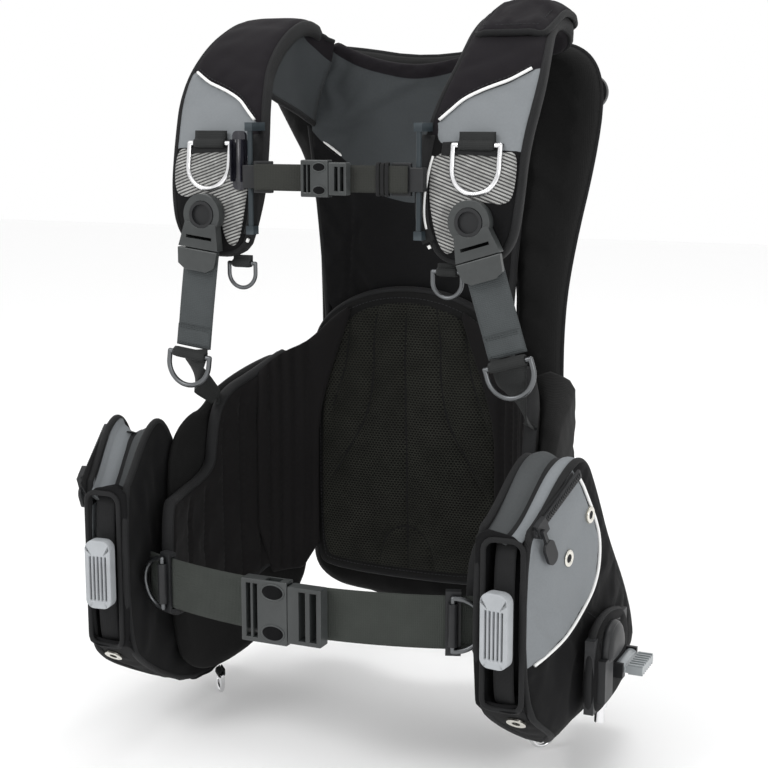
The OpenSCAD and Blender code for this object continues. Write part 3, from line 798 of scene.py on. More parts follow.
def add_yoke():
    place = flat_plane(-135.0, -124.8)
    dip = [(-128, 258), (-108, 238), (-75, 214), (-55, 190), (-34, 180), (0, 174)]
    dip += mirrored(dip[-2::-1])
    collar = [(-100, 334), (-75, 319), (-40, 308), (0, 302), (40, 308), (75, 319), (100, 334)]
    lower = np.vstack([catmull(dip), [(140, 200), (140, 0), (-140, 0), (-140, 200)]])
    top = np.vstack([catmull(collar), [(105, 370), (-105, 370)]])
    side = [(-74, 166), (-77, 109), (-82, 60)]
    sides = [side, mirrored(side)]
    creases = [([(-116, 250), (-66, 258), (0, 292), (30, 300)], 9, -2.6),
               ([(-116, 268), (-60, 274), (10, 306)], 10, 2.4),
               ([(-92, 326), (-100, 300), (-92, 270)], 7, 2.0),
               ([(-80, 322), (-86, 298), (-80, 276)], 6, -1.6),
               ([(30, 250), (75, 262), (108, 284)], 12, 2.0),
               ([(20, 232), (70, 236), (112, 250)], 8, -1.6),
               ([(-60, 228), (0, 214), (60, 222)], 14, 1.8)]
    obj = pad("yoke_panel", YOKE, place, [M["yoke"], M["neoprene"], M["black"]],
              zones=[(lower, 2), (top, 1)], marks=[dip], lines=[collar] + sides, folds=creases,
              swell=(1.6, 0.2), groove=1.0, step=4.2, edge=5, cloth=(1.2, 2.2, 0.03))
    finish_piece(obj, "root", ["yoke"])
    pipe(place, [p for p in dip if abs(p[0]) < 124], 0.9, 1.3)
    sew(place, [(x, z - 4) for x, z in dip if abs(x) < 115], 0.6)
    for s in (-1, 1):
        edging(place, [(s * x, z) for x, z in ((124, 254), (116, 190), (109, 120), (103, 36))], 4.0, 6.2,
               closed=False, smooth=True)


def add_yoke_corner(s):
    """The yoke's cloth where it runs forward to the strap's inner edge."""
    t = np.linspace(0, 1, 22)
    yoke_edge = catmull([(93, -137.5, 341), (97, -138.3, 318), (109, -138.4, 288), (117, -138, 256)], steps=8)
    strap_edge = catmull([(103, -160, 349), (103, -205, 352), (103, -245, 334), (104, -284, 292)], steps=8)
    a, b = (np.stack([np.interp(t, np.linspace(0, 1, len(q)), q[:, i]) for i in range(3)], 1)
            for q in (resample(yoke_edge, 4), resample(strap_edge, 4)))
    u = np.linspace(0, 1, 15)[None, :, None]
    grid = a[:, None] * (1 - u) + b[:, None] * u
    grid[..., 0] += (9 * np.sin(u[..., 0] * math.pi) * np.sin(t[:, None] * math.pi) ** 0.7
                     + 1.6 * np.sin(t[:, None] * 9 + u[..., 0] * 7) * np.sin(u[..., 0] * math.pi))
    grid[..., 0] *= s
    obj = grid_cloth("yoke_corner_" + SIDES[s], grid, 2.6, [M["yoke"], M["neoprene"]],
                     lambda i, j: int(i < 0.22))
    finish_piece(obj, "root", ())
    DETAIL["binding"].append(sweep(grid[-1], oval(2.4, 3.2)))
    DETAIL["binding"].append(sweep(grid[0], oval(2.2, 2.6)))


def arch(half_w, rise, centre=15.0):
    return [(half_w * math.cos(t), centre + rise * math.sin(t)) for t in np.radians(np.arange(0, 181, 12))]


def add_back_pad():
    body = arch(112, 70) + [(-112, -214), (-94, -231), (94, -231), (112, -214)]
    place = flat_plane(-154.5, -137.2)
    obj = pad("back_pad_cover", body, place, [M["charcoal"]], swell=(2.0, 0.0), step=5, edge=9)
    finish_piece(obj, "root", ["back_pad"])
    base = pad("lumbar_cushion", [(-103, 27), (103, 27), (103, -225), (-103, -225)],
               flat_plane(-137.3, -124.6), [M["black"]], swell=(0.0, 0.2), step=7, edge=5)
    finish_piece(base, "root", ())
    window = [(62, 57), (84, 30), (99, -20), (101, -110), (100, -206), (84, -219), (-84, -219), (-100, -206),
              (-101, -110), (-99, -20), (-84, 30), (-62, 57), (-30, 68), (0, 71), (30, 68)]
    seam = [(-32, 75), (-38, 30), (-39, -10), (-48, -55), (-70, -95), (-92, -132)]
    seams = [seam, mirrored(seam), [(0, 80), (-2, 10), (0, -100), (2, -225)],
             [(-66, 52), (-72, 0), (-92, -60)], [(66, 52), (72, 0), (92, -60)],
             [(-34, -225), (-24, -186), (0, -172), (24, -186), (34, -225)]]
    mesh = pad("back_mesh", window, lifted(place, -0.5, 3.0), [M["back_mesh"]], lines=seams, swell=(4.0, 0.0),
               groove=1.6, step=2.6, edge=4, reach=18)
    finish_piece(mesh, "root", ())
    bind(place, body, 3.6, 7.0)
    sew(place, inset(body, 9), 1.2, closed=True)


# ---------- wings, lobes and air cell ----------

WING = [(-153, 25), (-206, -6), (-242, -18), (-262, -36), (-271, -69), (-275, -102), (-340, -113),
        (-381, -112), (-381, -226), (-330, -236), (-153, -232)]
LOBE = [(-126, 10), (-175, 0), (-240, -20), (-262, -42), (-276, -104), (-330, -118), (-330, -280),
        (-290, -318), (-240, -330), (-180, -312), (-126, -250)]


def add_wing(s):
    name = "wing_" + SIDES[s]
    place = arc_plane(s, lambda y, z: arc_x(y, WING_C, WING_OUT - 0.6),
                      lambda y, z: arc_x(y, WING_C, WING_IN + 1.6))
    tops = ((-180, -4), (-205, -22), (-230, -30), (-256, -52), (-290, -118), (-325, -124))
    quilt = [[(y, top), (y - 3, top - 45), (y - 1, -226)] for y, top in tops]
    obj = pad(name + "_cover", WING, place, [M["wing"]], lines=quilt, swell=(3.0, 0.4), groove=2.4, step=4.2,
              edge=6, reach=9, cloth=(2.0, 1.4, 0.02))
    finish_piece(obj, "root", ["wing_pad_" + SIDES[s]])
    loop = inset(WING, 1.4)
    loop = np.roll(loop, -int(np.argmax(loop[:, 0])), axis=0)
    edging(place, loop[loop[:, 0] < -164], 3.6, 6.6, closed=False)
    curve = catmull([(52, -161.4), (72, -161.8), (92, -162.2), (107, -163.5), (119, -168), (130, -177),
                     (140, -190), (147, -205), (152, -217)])
    reach = length_along(curve)

    def bridge(a, b, k):
        x, y = np.interp(a, reach, curve[:, 0]), np.interp(a, reach, curve[:, 1])
        dx, dy = np.interp(a + 1, reach, curve[:, 0]) - x, np.interp(a + 1, reach, curve[:, 1]) - y
        size = np.hypot(dx, dy) + 1e-9
        return np.stack([s * (x + dy / size * (k * 2.2)), y - dx / size * (k * 2.2), b], 1)

    sheet = [(8, 68), (30, 54), (52, 33), (66, 22), (88, 14), (112, 2), (124, -8), (124, -231), (50, -229),
             (50, -110), (49, -60), (38, -16), (22, 28)]
    flutes = [[(a, 40 - a * 0.3), (a - 1, -80), (a + 1, -222)] for a in (62, 77, 92, 107)]
    join = pad(name + "_bridge", sheet, bridge, [M["wing"]], lines=flutes, swell=(3.2, 0), groove=2.2, step=4.0,
               edge=4, reach=9, corner=1)
    finish_piece(join, "root", ())
    patch = [(-376, -119), (-336, -119), (-322, -150), (-330, -196), (-376, -204)]
    back = arc_plane(s, lambda y, z: arc_x(y, WING_C, WING_IN), lambda y, z: arc_x(y, WING_C, WING_OUT - 0.6))
    mesh = pad(name + "_mesh", patch, lifted(back, -0.4, 0.9), [M["ribbed"]], swell=(0.3, 0), step=4, edge=2)
    finish_piece(mesh, "root", ())


def add_lobe(s):
    place = arc_plane(s, lambda y, z: arc_x(y, WING_C, WING_OUT + 1.8),
                      lambda y, z: arc_x(y, POCKET_IN_C, POCKET_IN_R - 1.8))
    creases = [([(-140, -60), (-190, -90), (-250, -100)], 9, -2.5),
               ([(-135, -140), (-200, -160), (-300, -170)], 10, -2.5),
               ([(-150, -210), (-220, -225), (-310, -230)], 9, -2.5)]
    shape = LOBE if s > 0 else LOBE[:3] + [(-262, -38), (-288, -40), (-322, -58), (-338, -100)] + LOBE[6:]
    obj = pad("lobe_" + SIDES[s], shape, place, [M["charcoal"]], folds=creases, swell=(0, 0), step=6, edge=16,
              cloth=(2.0, 1.2, 0.02))
    finish_piece(obj, "root", ["air_lobe_" + SIDES[s]])


CELL_HALF = [(0, -268), (84, -267), (118, -261), (140, -246), (149, -222), (158, -150), (152, -33), (152, 60),
             (162, 130), (182, 220), (190, 285), (180, 322), (150, 338), (90, 336)]


def add_air_cell():
    def place(a, b, k):
        back = np.where(b < -146, np.minimum(-72, -np.sqrt(np.maximum(99.0 ** 2 - a ** 2, 0))), -72.0)
        front = -123.9
        return np.stack([a, (front + back) / 2 - k * (back - front) / 2, b], 1)

    outline = CELL_HALF + [(0, 322), (-90, 336), (-150, 338), (-182, 322), (-189, 297), (-165, 254),
                           (-140, 211), (-127, 152), (-124, 64), (-124, -33), (-136, -150), (-138, -222),
                           (-132, -246), (-112, -261), (-84, -267)]
    hole = rounded([(-104, -155), (104, -155), (104, 255), (-104, 255)], 3)
    creases = [([(118, z + 14), (138, z), (160, z - 22)], 9, -2.4) for z in (-60, 0, 60, 120, 190)]
    obj = pad("air_cell_cover", outline, place, [M["charcoal"]], holes=[hole], folds=creases, swell=(0, 2),
              step=7, edge=20, cloth=(3.0, 3.5, 0.02))
    finish_piece(obj, "root", ["air_cell"])
    edging(place, inset(outline, 1.0), 3.5, 2.2)
    edging(place, hole, 3.0, 2.2)


# ---------- shoulders ----------

# The shoulder pad's two side profiles in Y and Z, and its outline in X and along the outer one
PAD_OUTER = [(-322, 130), (-326, 170), (-322, 210), (-312, 245), (-296, 280), (-270, 315), (-235, 344),
             (-195, 360), (-160, 358), (-124, 341)]
PAD_INNER = [(-308, 130), (-312, 168), (-308, 205), (-299, 238), (-284, 270), (-260, 301), (-229, 327),
             (-193, 343), (-160, 341), (-124, 320)]
PAD = [(104, 0), (90, 32), (82, 70), (84, 117), (92, 162), (100, 201), (100, 262), (100, 362), (172, 362),
       (172, 280), (182, 222), (187, 168), (181, 106), (180, 60), (174, 20), (152, 0)]
GREY_TOP = [(88, 127), (96, 132), (105, 141), (117, 153), (132, 162), (145, 168), (158, 174), (175, 186),
            (192, 197)]


def add_shoulder(s):
    name = "shoulder_" + SIDES[s]
    place = profile_plane(s, PAD_OUTER, PAD_INNER)
    base = [(97, 118), (103, 110), (129, 107), (160, 104), (195, 104)]
    inner = [(94, 131), (96.5, 125), (97, 118)]
    grey = np.vstack([catmull(GREY_TOP)[10:], [(200, 150)], catmull(base)[::-1], catmull(inner)[::-1]])
    low = np.vstack([catmull(base), [(220, 104), (220, -10), (60, -10), (60, 118)]])
    creases = [([(104, 215), (140, 222), (178, 214)], 12, 1.2),
               ([(100, 262), (135, 268), (170, 262)], 10, -1.2),
               ([(108, 190), (128, 196), (150, 208)], 7, -1.0)]
    obj = pad(name + "_cover", PAD, place, [M["neoprene"], M["grey"], M["black"]],
              zones=[(grey, 1), (low, 2)], marks=[base, inner], lines=[GREY_TOP], folds=creases,
              swell=(2.2, 1.2), groove=0.8, step=4.2, edge=8, cloth=(3.0, 0.5, 0.02))
    finish_piece(obj, "root", ["shoulder_pad_" + SIDES[s]])
    pipe(place, [p for p in GREY_TOP if 92 < p[0] < 184], 2.2, 1.5)
    sew(place, [(x, b + 4.5) for x, b in GREY_TOP if 92 < x < 180], 2.4)
    bind(place, PAD, 3.8, 8.0)
    knit_edge = [(97, 101), (128, 104), (160, 102), (177, 103), (176, 62), (166, 55), (150, 57), (130, 56),
                 (122, 50), (124, 34), (120, 14), (112, 8), (104, 16), (99, 34), (94, 62), (94, 84)]
    mesh = pad(name + "_mesh", knit_edge, lifted(place, 1.2, 3.2), [M["ribbed"]], swell=(0.8, 0), step=1.7,
               edge=2.5, relief=lambda a, b: 0.4 * np.sin((b + RIB_LEAN * a) * 2 * math.pi / RIB_PITCH))
    finish_piece(mesh, "root", ())
    tape(place, [(104, 104), (130, 105), (162, 103)], 4.2, 13, 1.8)
    pipe(place, [(95, 98), (92, 82), (90, 62), (90, 44), (92, 32)], 1.7, 1.3)
    pipe(place, [(94, 17), (95.5, 14)], 3.2, 1.6)
    tape(place, [(88, 118), (86, 80), (88, 40), (94, 20)], 1.6, 13, 1.6)


FLAP_X = 142


def add_flap():
    arched = profile_plane(1, [(-256, 341), (-238, 354), (-196, 371), (-160, 369), (-128, 353)],
                           [(-252, 337), (-235, 348), (-195, 364.5), (-160, 362.5), (-128, 347)])

    def place(a, b, k):
        p = arched(a, b, k)
        off = np.abs(a - FLAP_X)
        p[:, 2] += 3.0 * np.clip(1 - (off / 38) ** 2, 0, 1) - 2.5 - np.clip(off - 22, 0, 20) * 0.45
        return p

    outline = [(112, 0), (172, 0), (180, 22), (178, 148), (108, 148), (104, 22)]
    creases = [([(112, 60), (140, 66), (172, 58)], 9, 1.2), ([(118, 100), (150, 96), (172, 104)], 7, -0.9)]
    obj = pad("shoulder_flap_cover", outline, place, [M["neoprene"]], folds=creases, swell=(1.2, 0), step=4.2,
              edge=3.2, cloth=(1.5, 1.5, 0.02))
    finish_piece(obj, "root", ["shoulder_flap"])
    bind(place, outline, 2.8, 3.6)
    sew(place, inset(outline, 8), 1.0, closed=True)


# ---------- pockets and weight pouches ----------

POCKET = [(-425, -92), (-402, -78), (-362, -42), (-330, -34), (-302, -74), (-267, -130), (-205, -192),
          (-145, -254), (-140, -286), (-178, -322), (-240, -338), (-300, -328), (-380, -284), (-425, -246)]
ARC_LINE = [(-356, -40), (-331, -68), (-300, -112), (-296, -142), (-307, -163), (-330, -179), (-361, -195),
            (-390, -203), (-420, -209)]


def pocket_out(y, z):
    """The outer wall, with the lower part drawn in under the pocket."""
    wall = arc_x(y, POCKET_OUT_C, POCKET_OUT_R - 0.4)
    under = 258 + (z + 262) * 62 / 79
    soft = 5.0
    return -soft * np.log(np.exp(-wall / soft) + np.exp(-np.minimum(under, wall + 60) / soft))


def pocket_in(y, z):
    return arc_x(y, POCKET_IN_C, POCKET_IN_R) + 0.4


def between(s, line, low, high, columns, lift, wave=0.0):
    """Rows of points from the inner wall to the outer one, along a line of the pocket's outline."""
    run = resample(catmull(line), 5)
    y, z = run[:, 0], run[:, 1]
    ahead = unit(np.gradient(run, axis=0))
    up = np.stack([ahead[:, 1], -ahead[:, 0]], 1)
    if inside((run + up * 6)[len(run) // 2][None], np.array(POCKET, float))[0]:
        up = -up
    t = np.linspace(0, 1, columns)
    x0, x1 = pocket_in(y, z) + low, pocket_out(y, z) - high
    rise = lift(t[None, :], np.linspace(0, 1, len(run))[:, None])
    rise = rise + wave * np.sin(np.arange(len(run)) * 1.1)[:, None] * np.sin(t * math.pi)[None, :] ** 2
    x = x0[:, None] + (x1 - x0)[:, None] * t[None, :]
    return np.stack([s * x, y[:, None] + up[:, :1] * rise, z[:, None] + up[:, 1:] * rise], 2)


def add_pocket_edge(s, name):
    """The cloth between the two walls: round the bottom, and over the top with its binding."""
    low_line = [(-424, -246), (-380, -284), (-300, -328), (-240, -338), (-178, -322), (-140, -286),
                (-146, -254), (-205, -192), (-267, -130), (-302, -76)]
    grid = between(s, low_line, 2, 2, 11, lambda t, u: -4.5 + 2.4 * np.sin(t * math.pi) + 0 * u, 0.8)
    gusset = grid_cloth(name + "_gusset", grid, 2.4, [M["black"]])
    finish_piece(gusset, "root", ())
    top_line = [(-300, -80), (-318, -54), (-332, -37), (-362, -45), (-402, -80), (-424, -93)]
    drop = 0.0 if s > 0 else 15.0

    def hump(t, u):
        crown = 5.5 * np.sin(np.clip(t / 0.56, 0, 1) * math.pi) * np.sin(u * math.pi)
        fold = 3.0 * np.exp(-((t - 0.6) / 0.07) ** 2)
        rim = 2.0 * np.sin(np.clip((t - 0.62) / 0.38, 0, 1) * math.pi)
        return -3.5 - drop * np.sin(t * math.pi) ** 0.5 + crown - fold + rim

    grid = between(s, top_line, 3, 5, 19, hump)
    cover = grid_cloth(name + "_top", grid, 2.4, [M["slate"], M["grey"]], lambda i, j: int(j > 0.58))
    finish_piece(cover, "root", ())
    at, over = grid[1:-1, 11], np.array([0.0, 0.2, 1.0])
    DETAIL["binding"].append(sweep(at + (0, 0, 3.4), band_profile(11, 1.6), over))


def add_pocket_front(s, name):
    """The front is a frame of cloth round the holster's mouth."""
    def front(a, b, k):
        mid = np.sqrt(np.clip((a - 177) / 49, 0, 1) * np.clip((226 - a) / 49, 0, 1)) * 2
        bulge = np.where(b > -246, 0, (-246 - b) * 1.18)
        return np.stack([s * a, -422.5 - mid - 1.5 * k + bulge, b], 1)

    mouth = pouch_outline(18.4, 77.5, 10)
    mouth = np.stack([POUCH_AT[0] + mouth[:, 0] * math.cos(POUCH_TURN), POUCH_AT[2] + mouth[:, 1]], 1)
    edge = [(179, -84), (224, -92), (226, -120), (226, -235), (222, -276), (186, -276), (178, -235),
            (178, -120)]
    face = pad(name + "_front", edge, front, [M["black"]], holes=[mouth], swell=(0.8, 0.2), step=4, edge=2.2,
               corner=1)
    finish_piece(face, "root", ())
    edging(front, mouth, 2.6, 1.9, k=1.0, lift=0.6)


def add_pocket(s):
    name = "pocket_" + SIDES[s]
    outer = arc_plane(s, lambda y, z: pocket_out(y, z) - 5.5, pocket_out)
    inner = arc_plane(s, lambda y, z: pocket_in(y, z) + 5.0, pocket_in)
    grey = np.vstack([catmull(ARC_LINE), [(-440, -215), (-440, -60), (-360, -20)]])
    seam = [(-318, -185), (-270, -215), (-228, -262), (-222, -300)]
    creases = [([(-400, -120), (-392, -160), (-398, -205)], 8, 1.6),
               ([(-330, -205), (-350, -245), (-344, -290)], 9, -1.6),
               ([(-300, -200), (-285, -240), (-290, -290)], 8, 1.8),
               ([(-240, -200), (-225, -240), (-232, -290)], 9, -1.6),
               ([(-200, -215), (-186, -250), (-195, -300)], 7, 1.4)]
    wall = pad(name + "_outer", POCKET, outer, [M["black"], M["grey"]], zones=[(grey, 1)],
               lines=[ARC_LINE, seam], folds=creases, swell=(1.8, 0.3), groove=1.0, step=4.5, edge=4,
               uneven=0.6, cloth=(2.0, 2.0, 0.02))
    finish_piece(wall, "root", ["pocket_" + SIDES[s]])
    creases = [([(-385, -95), (-372, -170), (-385, -260)], 9, 2.2),
               ([(-350, -70), (-340, -150), (-352, -240)], 10, -2.2),
               ([(-318, -90), (-300, -170), (-318, -270)], 9, 2.0),
               ([(-270, -160), (-250, -220), (-262, -300)], 9, -1.8),
               ([(-215, -200), (-195, -250), (-205, -305)], 8, 1.6)]
    lining = pad(name + "_inner", POCKET, inner, [M["black"]], folds=creases, swell=(0.4, 0.4), step=5,
                 edge=3.5, uneven=0.8)
    finish_piece(lining, "root", ())
    pipe(outer, [(-345, -52.3)] + ARC_LINE[1:-1] + [(-412, -207.5)], 1.6, 1.5)
    sew(outer, [(y + 3, z - 4) for y, z in ARC_LINE[1:-1]], 1.2)
    sew(outer, seam, 0.6)
    bind(outer, POCKET, 3.0, 3.6)
    bind(inner, POCKET, 3.0, 3.6)
    for y, z, lift in ((-364, -122, 3.7), (-321, -92, 2.7)):
        for r, kind, profile in ((5.8, "eyelet", oval(2.2, 1.1)), (1.8, "binding", oval(2.0, 0.8))):
            at, out = on_panel(outer, circle(r, 24) + (y, z), 1.0, lift, r / 4, True, False)
            DETAIL[kind].append(sweep(at, profile, out, True))
    tape(outer, [(-425, -93), (-407, -81), (-382, -68), (-354, -52)], 0.9, 17, 1.4)
    add_pocket_edge(s, name)
    add_pocket_front(s, name)
    add_holster(s, name)


def add_inflator_cover():
    place = arc_plane(1, lambda y, z: 255.0 + 0 * y, lambda y, z: 267.2 + 0 * y)
    outline = [(-353, -250), (-344, -276), (-300, -279), (-246, -276), (-233, -246), (-236, -205), (-268, -193),
               (-310, -188), (-345, -200)]
    obj = pad("inflator_cover", outline, place, [M["black"]], swell=(1.4, 0), step=4.5, edge=7, reach=10,
              lines=[[(-338, -212), (-300, -200), (-262, -206)]])
    finish_piece(obj, "root", ())
    rim = [(-336, -222), (-328, -200), (-306, -192), (-284, -200), (-276, -222), (-284, -232), (-328, -232)]
    over = arc_plane(1, lambda y, z: 266.0 + 0 * y, lambda y, z: 275.5 + 0 * y)
    dome = pad("inflator_dome", rim, over, [M["plastic"]], swell=(3.2, 0), step=3, edge=9, reach=9)
    finish_piece(dome, "root")
    bind(place, outline, 2.6, 3.4)


def pouch_outline(half_w, half_h, r, count=6):
    """A round-cornered upright rectangle."""
    t = np.linspace(0, math.pi / 2, count)
    corner = np.stack([np.cos(t), np.sin(t)], 1) * r
    parts = []
    for turn, (cx, cz) in enumerate(((1, 1), (-1, 1), (-1, -1), (1, -1))):
        c, si = math.cos(turn * math.pi / 2), math.sin(turn * math.pi / 2)
        spun = corner @ np.array([[c, si], [-si, c]])
        parts.append(spun + (cx * (half_w - r), cz * (half_h - r)))
    return np.vstack(parts)


def pouch_frame(s, p):
    """From the pouch's own frame to the vest's."""
    c, si = math.cos(POUCH_TURN), math.sin(POUCH_TURN)
    x = POUCH_AT[0] + p[:, 0] * c - p[:, 1] * si
    y = POUCH_AT[1] + p[:, 0] * si + p[:, 1] * c
    return np.stack([s * x, y, POUCH_AT[2] + p[:, 2]], 1)


def add_holster(s, name):
    """The sleeve that the weight pouch slides in."""
    rings = []
    for y, w, h in ((-3.5, 18.3, 77.3), (30, 18.0, 77.2), (70, 18.0, 77.2), (102, 17.9, 77.0)):
        loop = pouch_outline(w, h, 10)
        rings.append(np.c_[loop[:, 0], np.full(len(loop), y), loop[:, 1]])
    m = len(rings[0])
    outer = [r * (1.045, 1, 1.012) for r in rings]
    verts = pouch_frame(s, np.vstack(rings + outer))
    last, o = (len(rings) - 1) * m, len(rings) * m
    faces = []
    for a in range(0, last, m):
        for j in range(m):
            k, b = (j + 1) % m, a + m
            faces += [(a + j, a + k, b + k, b + j), (o + a + k, o + a + j, o + b + j, o + b + k)]
    faces += [tuple(last + j for j in range(m)), tuple(o + last + j for j in range(m))[::-1]]
    faces += [(j, o + j, o + (j + 1) % m, (j + 1) % m) for j in range(m)]
    flow = np.vstack(rings + outer)[:, [2, 1, 0]]
    sleeve = new_object(name + "_holster", verts, faces, flow, [M["lining"]])
    finish_piece(sleeve, "root")


def add_pouch(s):
    body = "pouch_" + SIDES[s]

    def place(a, b, k):
        return pouch_frame(s, np.c_[16.2 * k, a, b])

    outline = [(0.5, -75.5), (99.5, -75.5), (99.5, 75.5), (0.5, 75.5)]
    bag = pad(body + "_bag", outline, place, [M["black"]], swell=(0.3, 0.3), step=5, edge=13, corner=3,
              lines=[[(22, -70), (22, 70)]], groove=0.8)
    finish_piece(bag, body, ["weight_pouch_" + SIDES[s]])

    def strap_line(half, mid):
        """A line in Y and Z, given by its upper half and its middle."""
        line = half + [(mid, 0)] + [(y, -z) for y, z in half[::-1]]
        return pouch_frame(s, np.array([(0, y, z) for y, z in line], float))

    path = strap_line([(60, 76.2), (14, 76.0), (3.4, 70), (-0.6, 40)], -0.9)
    out = strap_line([(60, 90.0), (10, 95.0), (-10, 85), (-20, 40)], -20) - path
    fine = resample(catmull(path), 4)
    t = np.linspace(0, 1, len(out))
    norm = np.stack([np.interp(np.linspace(0, 1, len(fine)), t, out[:, i]) for i in range(3)], 1)
    joined(body + "_strap", [sweep(fine, band_profile(20, 1.2), norm)], M["binding"], body)
    slots = []
    for i in range(-2, 3):
        ends = pouch_frame(s, np.array([(i * 4, -18.25, -25.4), (i * 4, -18.25, 17.4)], float))
        slots.append(sweep(ends, band_profile(1.5, 0.7, 5), (0, -1, 0)))
    joined(body + "_slots", slots, M["plastic"], body)


def add_buckle_face(name, body, at, rx, rz, gap):
    """Two windows with a rim, over and under the middle of a socket's face; each window holds a near-black
    sheet, painted shade for the opening.
    """
    rims, window_shade = [], []
    for up in (-1, 1):
        centre = np.array(at, float) + (0, 0, up * gap)
        loop = np.insert(oval(rx, rz, 28), 1, 0, axis=1)
        rims.append(sweep(centre + loop - (0, 0.1, 0), circle(0.07 * rz + 0.45, 8), closed=True))
        # painted shade: a near-black sheet on the face stands for the shadow seen in each window's opening
        fine = resample([centre + (0, -0.25, z) for z in (-rz * 0.97, 0, rz * 0.97)], rz / 12)
        width = np.sqrt(np.clip(1 - ((fine[:, 2] - centre[2]) / rz) ** 2, 0.01, 1))
        window_shade.append(sweep(fine, band_profile(2 * rx, 0.9, 5), (0, -1, 0), widths=width))
    joined(name + "_rims", rims, M["buckle"], body)
    joined(name + "_shade_windows", window_shade, M["lining"], body)


# ---------- webbing ----------

def strap_at(s, x, y, z):
    """A point in a shoulder strap's own frame, in the vest's frame."""
    c, si = math.cos(math.radians(STRAP_LEAN[s])), math.sin(math.radians(STRAP_LEAN[s]))
    x, y, z = (np.asarray(v, float) for v in (x, y, z))
    at = np.broadcast_arrays(s * (SWIVEL[0] + x * c - z * si), SWIVEL[1] + y, SWIVEL[2] + x * si + z * c)
    return np.stack(at, -1)


def ring_bar(s):
    return strap_at(s, 0, -14, -STRAP_LEN[s])


def add_shoulder_strap(s):
    side = SIDES[s]
    end = -(STRAP_LEN[s] - 7)
    z = np.linspace(-30, end, 24)
    bow = -7 - 0.65 * np.sin((z + 30) / (end + 30) * math.pi)
    forward = (0, -1, 0)
    parts = [sweep(strap_at(s, 0, bow, z), band_profile(38, 1.9), forward)]
    z = np.linspace(end + 21, end, 6)
    parts.append(sweep(strap_at(s, 0, -9.1, z), band_profile(37, 1.6), forward))
    for dz in (20, 18, 3):
        parts += stitches(strap_at(s, np.array([-16.0, 16.0]), -10.3, end + dz), 3.0, 2.0, 0.35)
    joined("shoulder_strap_cloth_" + side, parts, M["strap"], "swivel_" + side,
           ["shoulder_strap_" + side])


def loop_path(wire, tail, gap=0.4, thick=2.0):
    """A tab's path round a ring's bar, in Y and Z."""
    r = wire / 2 + gap + thick / 2
    return catmull([(r, tail), (r, tail * 0.4), (r, 0), (0.72 * r, -0.72 * r), (0, -r), (-0.72 * r, -0.72 * r),
                    (-r, 0), (-0.7 * r, 0.75 * r), (0.1 * r, 1.25 * r), (0.3 * r, max(tail, 1.4 * r))], steps=5)


def add_loop(at, turn, width, wire, tail, s, lean=0.0, thick=1.8):
    """A tab of webbing round a ring's bar at a point, turned about Z, then leaned about Y."""
    p = loop_path(wire, tail, thick=thick)
    ahead = np.gradient(p, axis=0)
    out = np.stack([ahead[:, 1], -ahead[:, 0]], 1)
    if out[np.argmin(p[:, 1])][1] > 0:
        out = -out
    c, si = math.cos(turn), math.sin(turn)
    cl, sl = math.cos(lean), math.sin(lean)

    def world(q, move):
        x, y, z = np.zeros(len(q)), q[:, 0], q[:, 1]
        x, z = x * cl - z * sl, x * sl + z * cl
        x, y = x * c - y * si, x * si + y * c
        r = np.stack([x, y, z], 1) + (np.array(at) if move else 0)
        return r * (s, 1, 1)
    return sweep(world(p, True), band_profile(width, thick), world(out, False))


def add_tabs():
    parts = []
    for s in (1, -1):
        parts.append(add_loop((138, -321.5, 238), 0, 34, 5, 12, s))
        parts.append(add_loop((108, -315, 122), 0, 20, 4, 7.8, s))
        parts.append(add_loop((184.5, -243, -336), math.radians(47), 18, 4, 5.5, s))
    joined("ring_tabs_cloth", parts, M["tab"], "root", ["ring_tabs"])
    parts = []
    for s in (1, -1):
        bar = ring_bar(s) * (s, 1, 1)
        parts.append(add_loop(bar, 0, 36, 5, 4.5, s, math.radians(STRAP_LEAN[s])))
        path = np.array([(bar[0], bar[1] + 3.6, bar[2] + 4), (bar[0], bar[1] + 4.2, bar[2] - 5),
                         (bar[0] * 0.6 + 172 * 0.4, bar[1] + 22, bar[2] * 0.6 - 29 * 0.4 - 1),
                         (172, -262, -25), (172, -257, -28)])
        fine = resample(catmull(path), 4)
        t = np.linspace(0, 1, len(fine))
        parts.append(sweep(fine * (s, 1, 1), band_profile(36, 1.9), (0, -0.8, 0.5), widths=1 - 0.58 * t))
    joined("anchor_straps_cloth", parts, M["tab"], "root", ["anchor_straps"])


def add_belts():
    for s in (-1, 1):
        turn = np.linspace(math.asin(16 / BELT_R), math.asin(176 / BELT_R), 40)
        path = np.stack([s * BELT_R * np.sin(turn), BELT_CY - BELT_R * np.cos(turn), np.full(40, BELT_Z)], 1)
        out = np.stack([s * np.sin(turn), -np.cos(turn), np.zeros(40)], 1)
        obj = one_mesh("waist_belt_cloth_" + SIDES[s], [sweep(path, band_profile(50, 2.0, 13), out)], M["belt"])
        if s > 0:
            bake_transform(obj)
        else:
            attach(obj, "root")
        if s < 0:
            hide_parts("waist_belts")


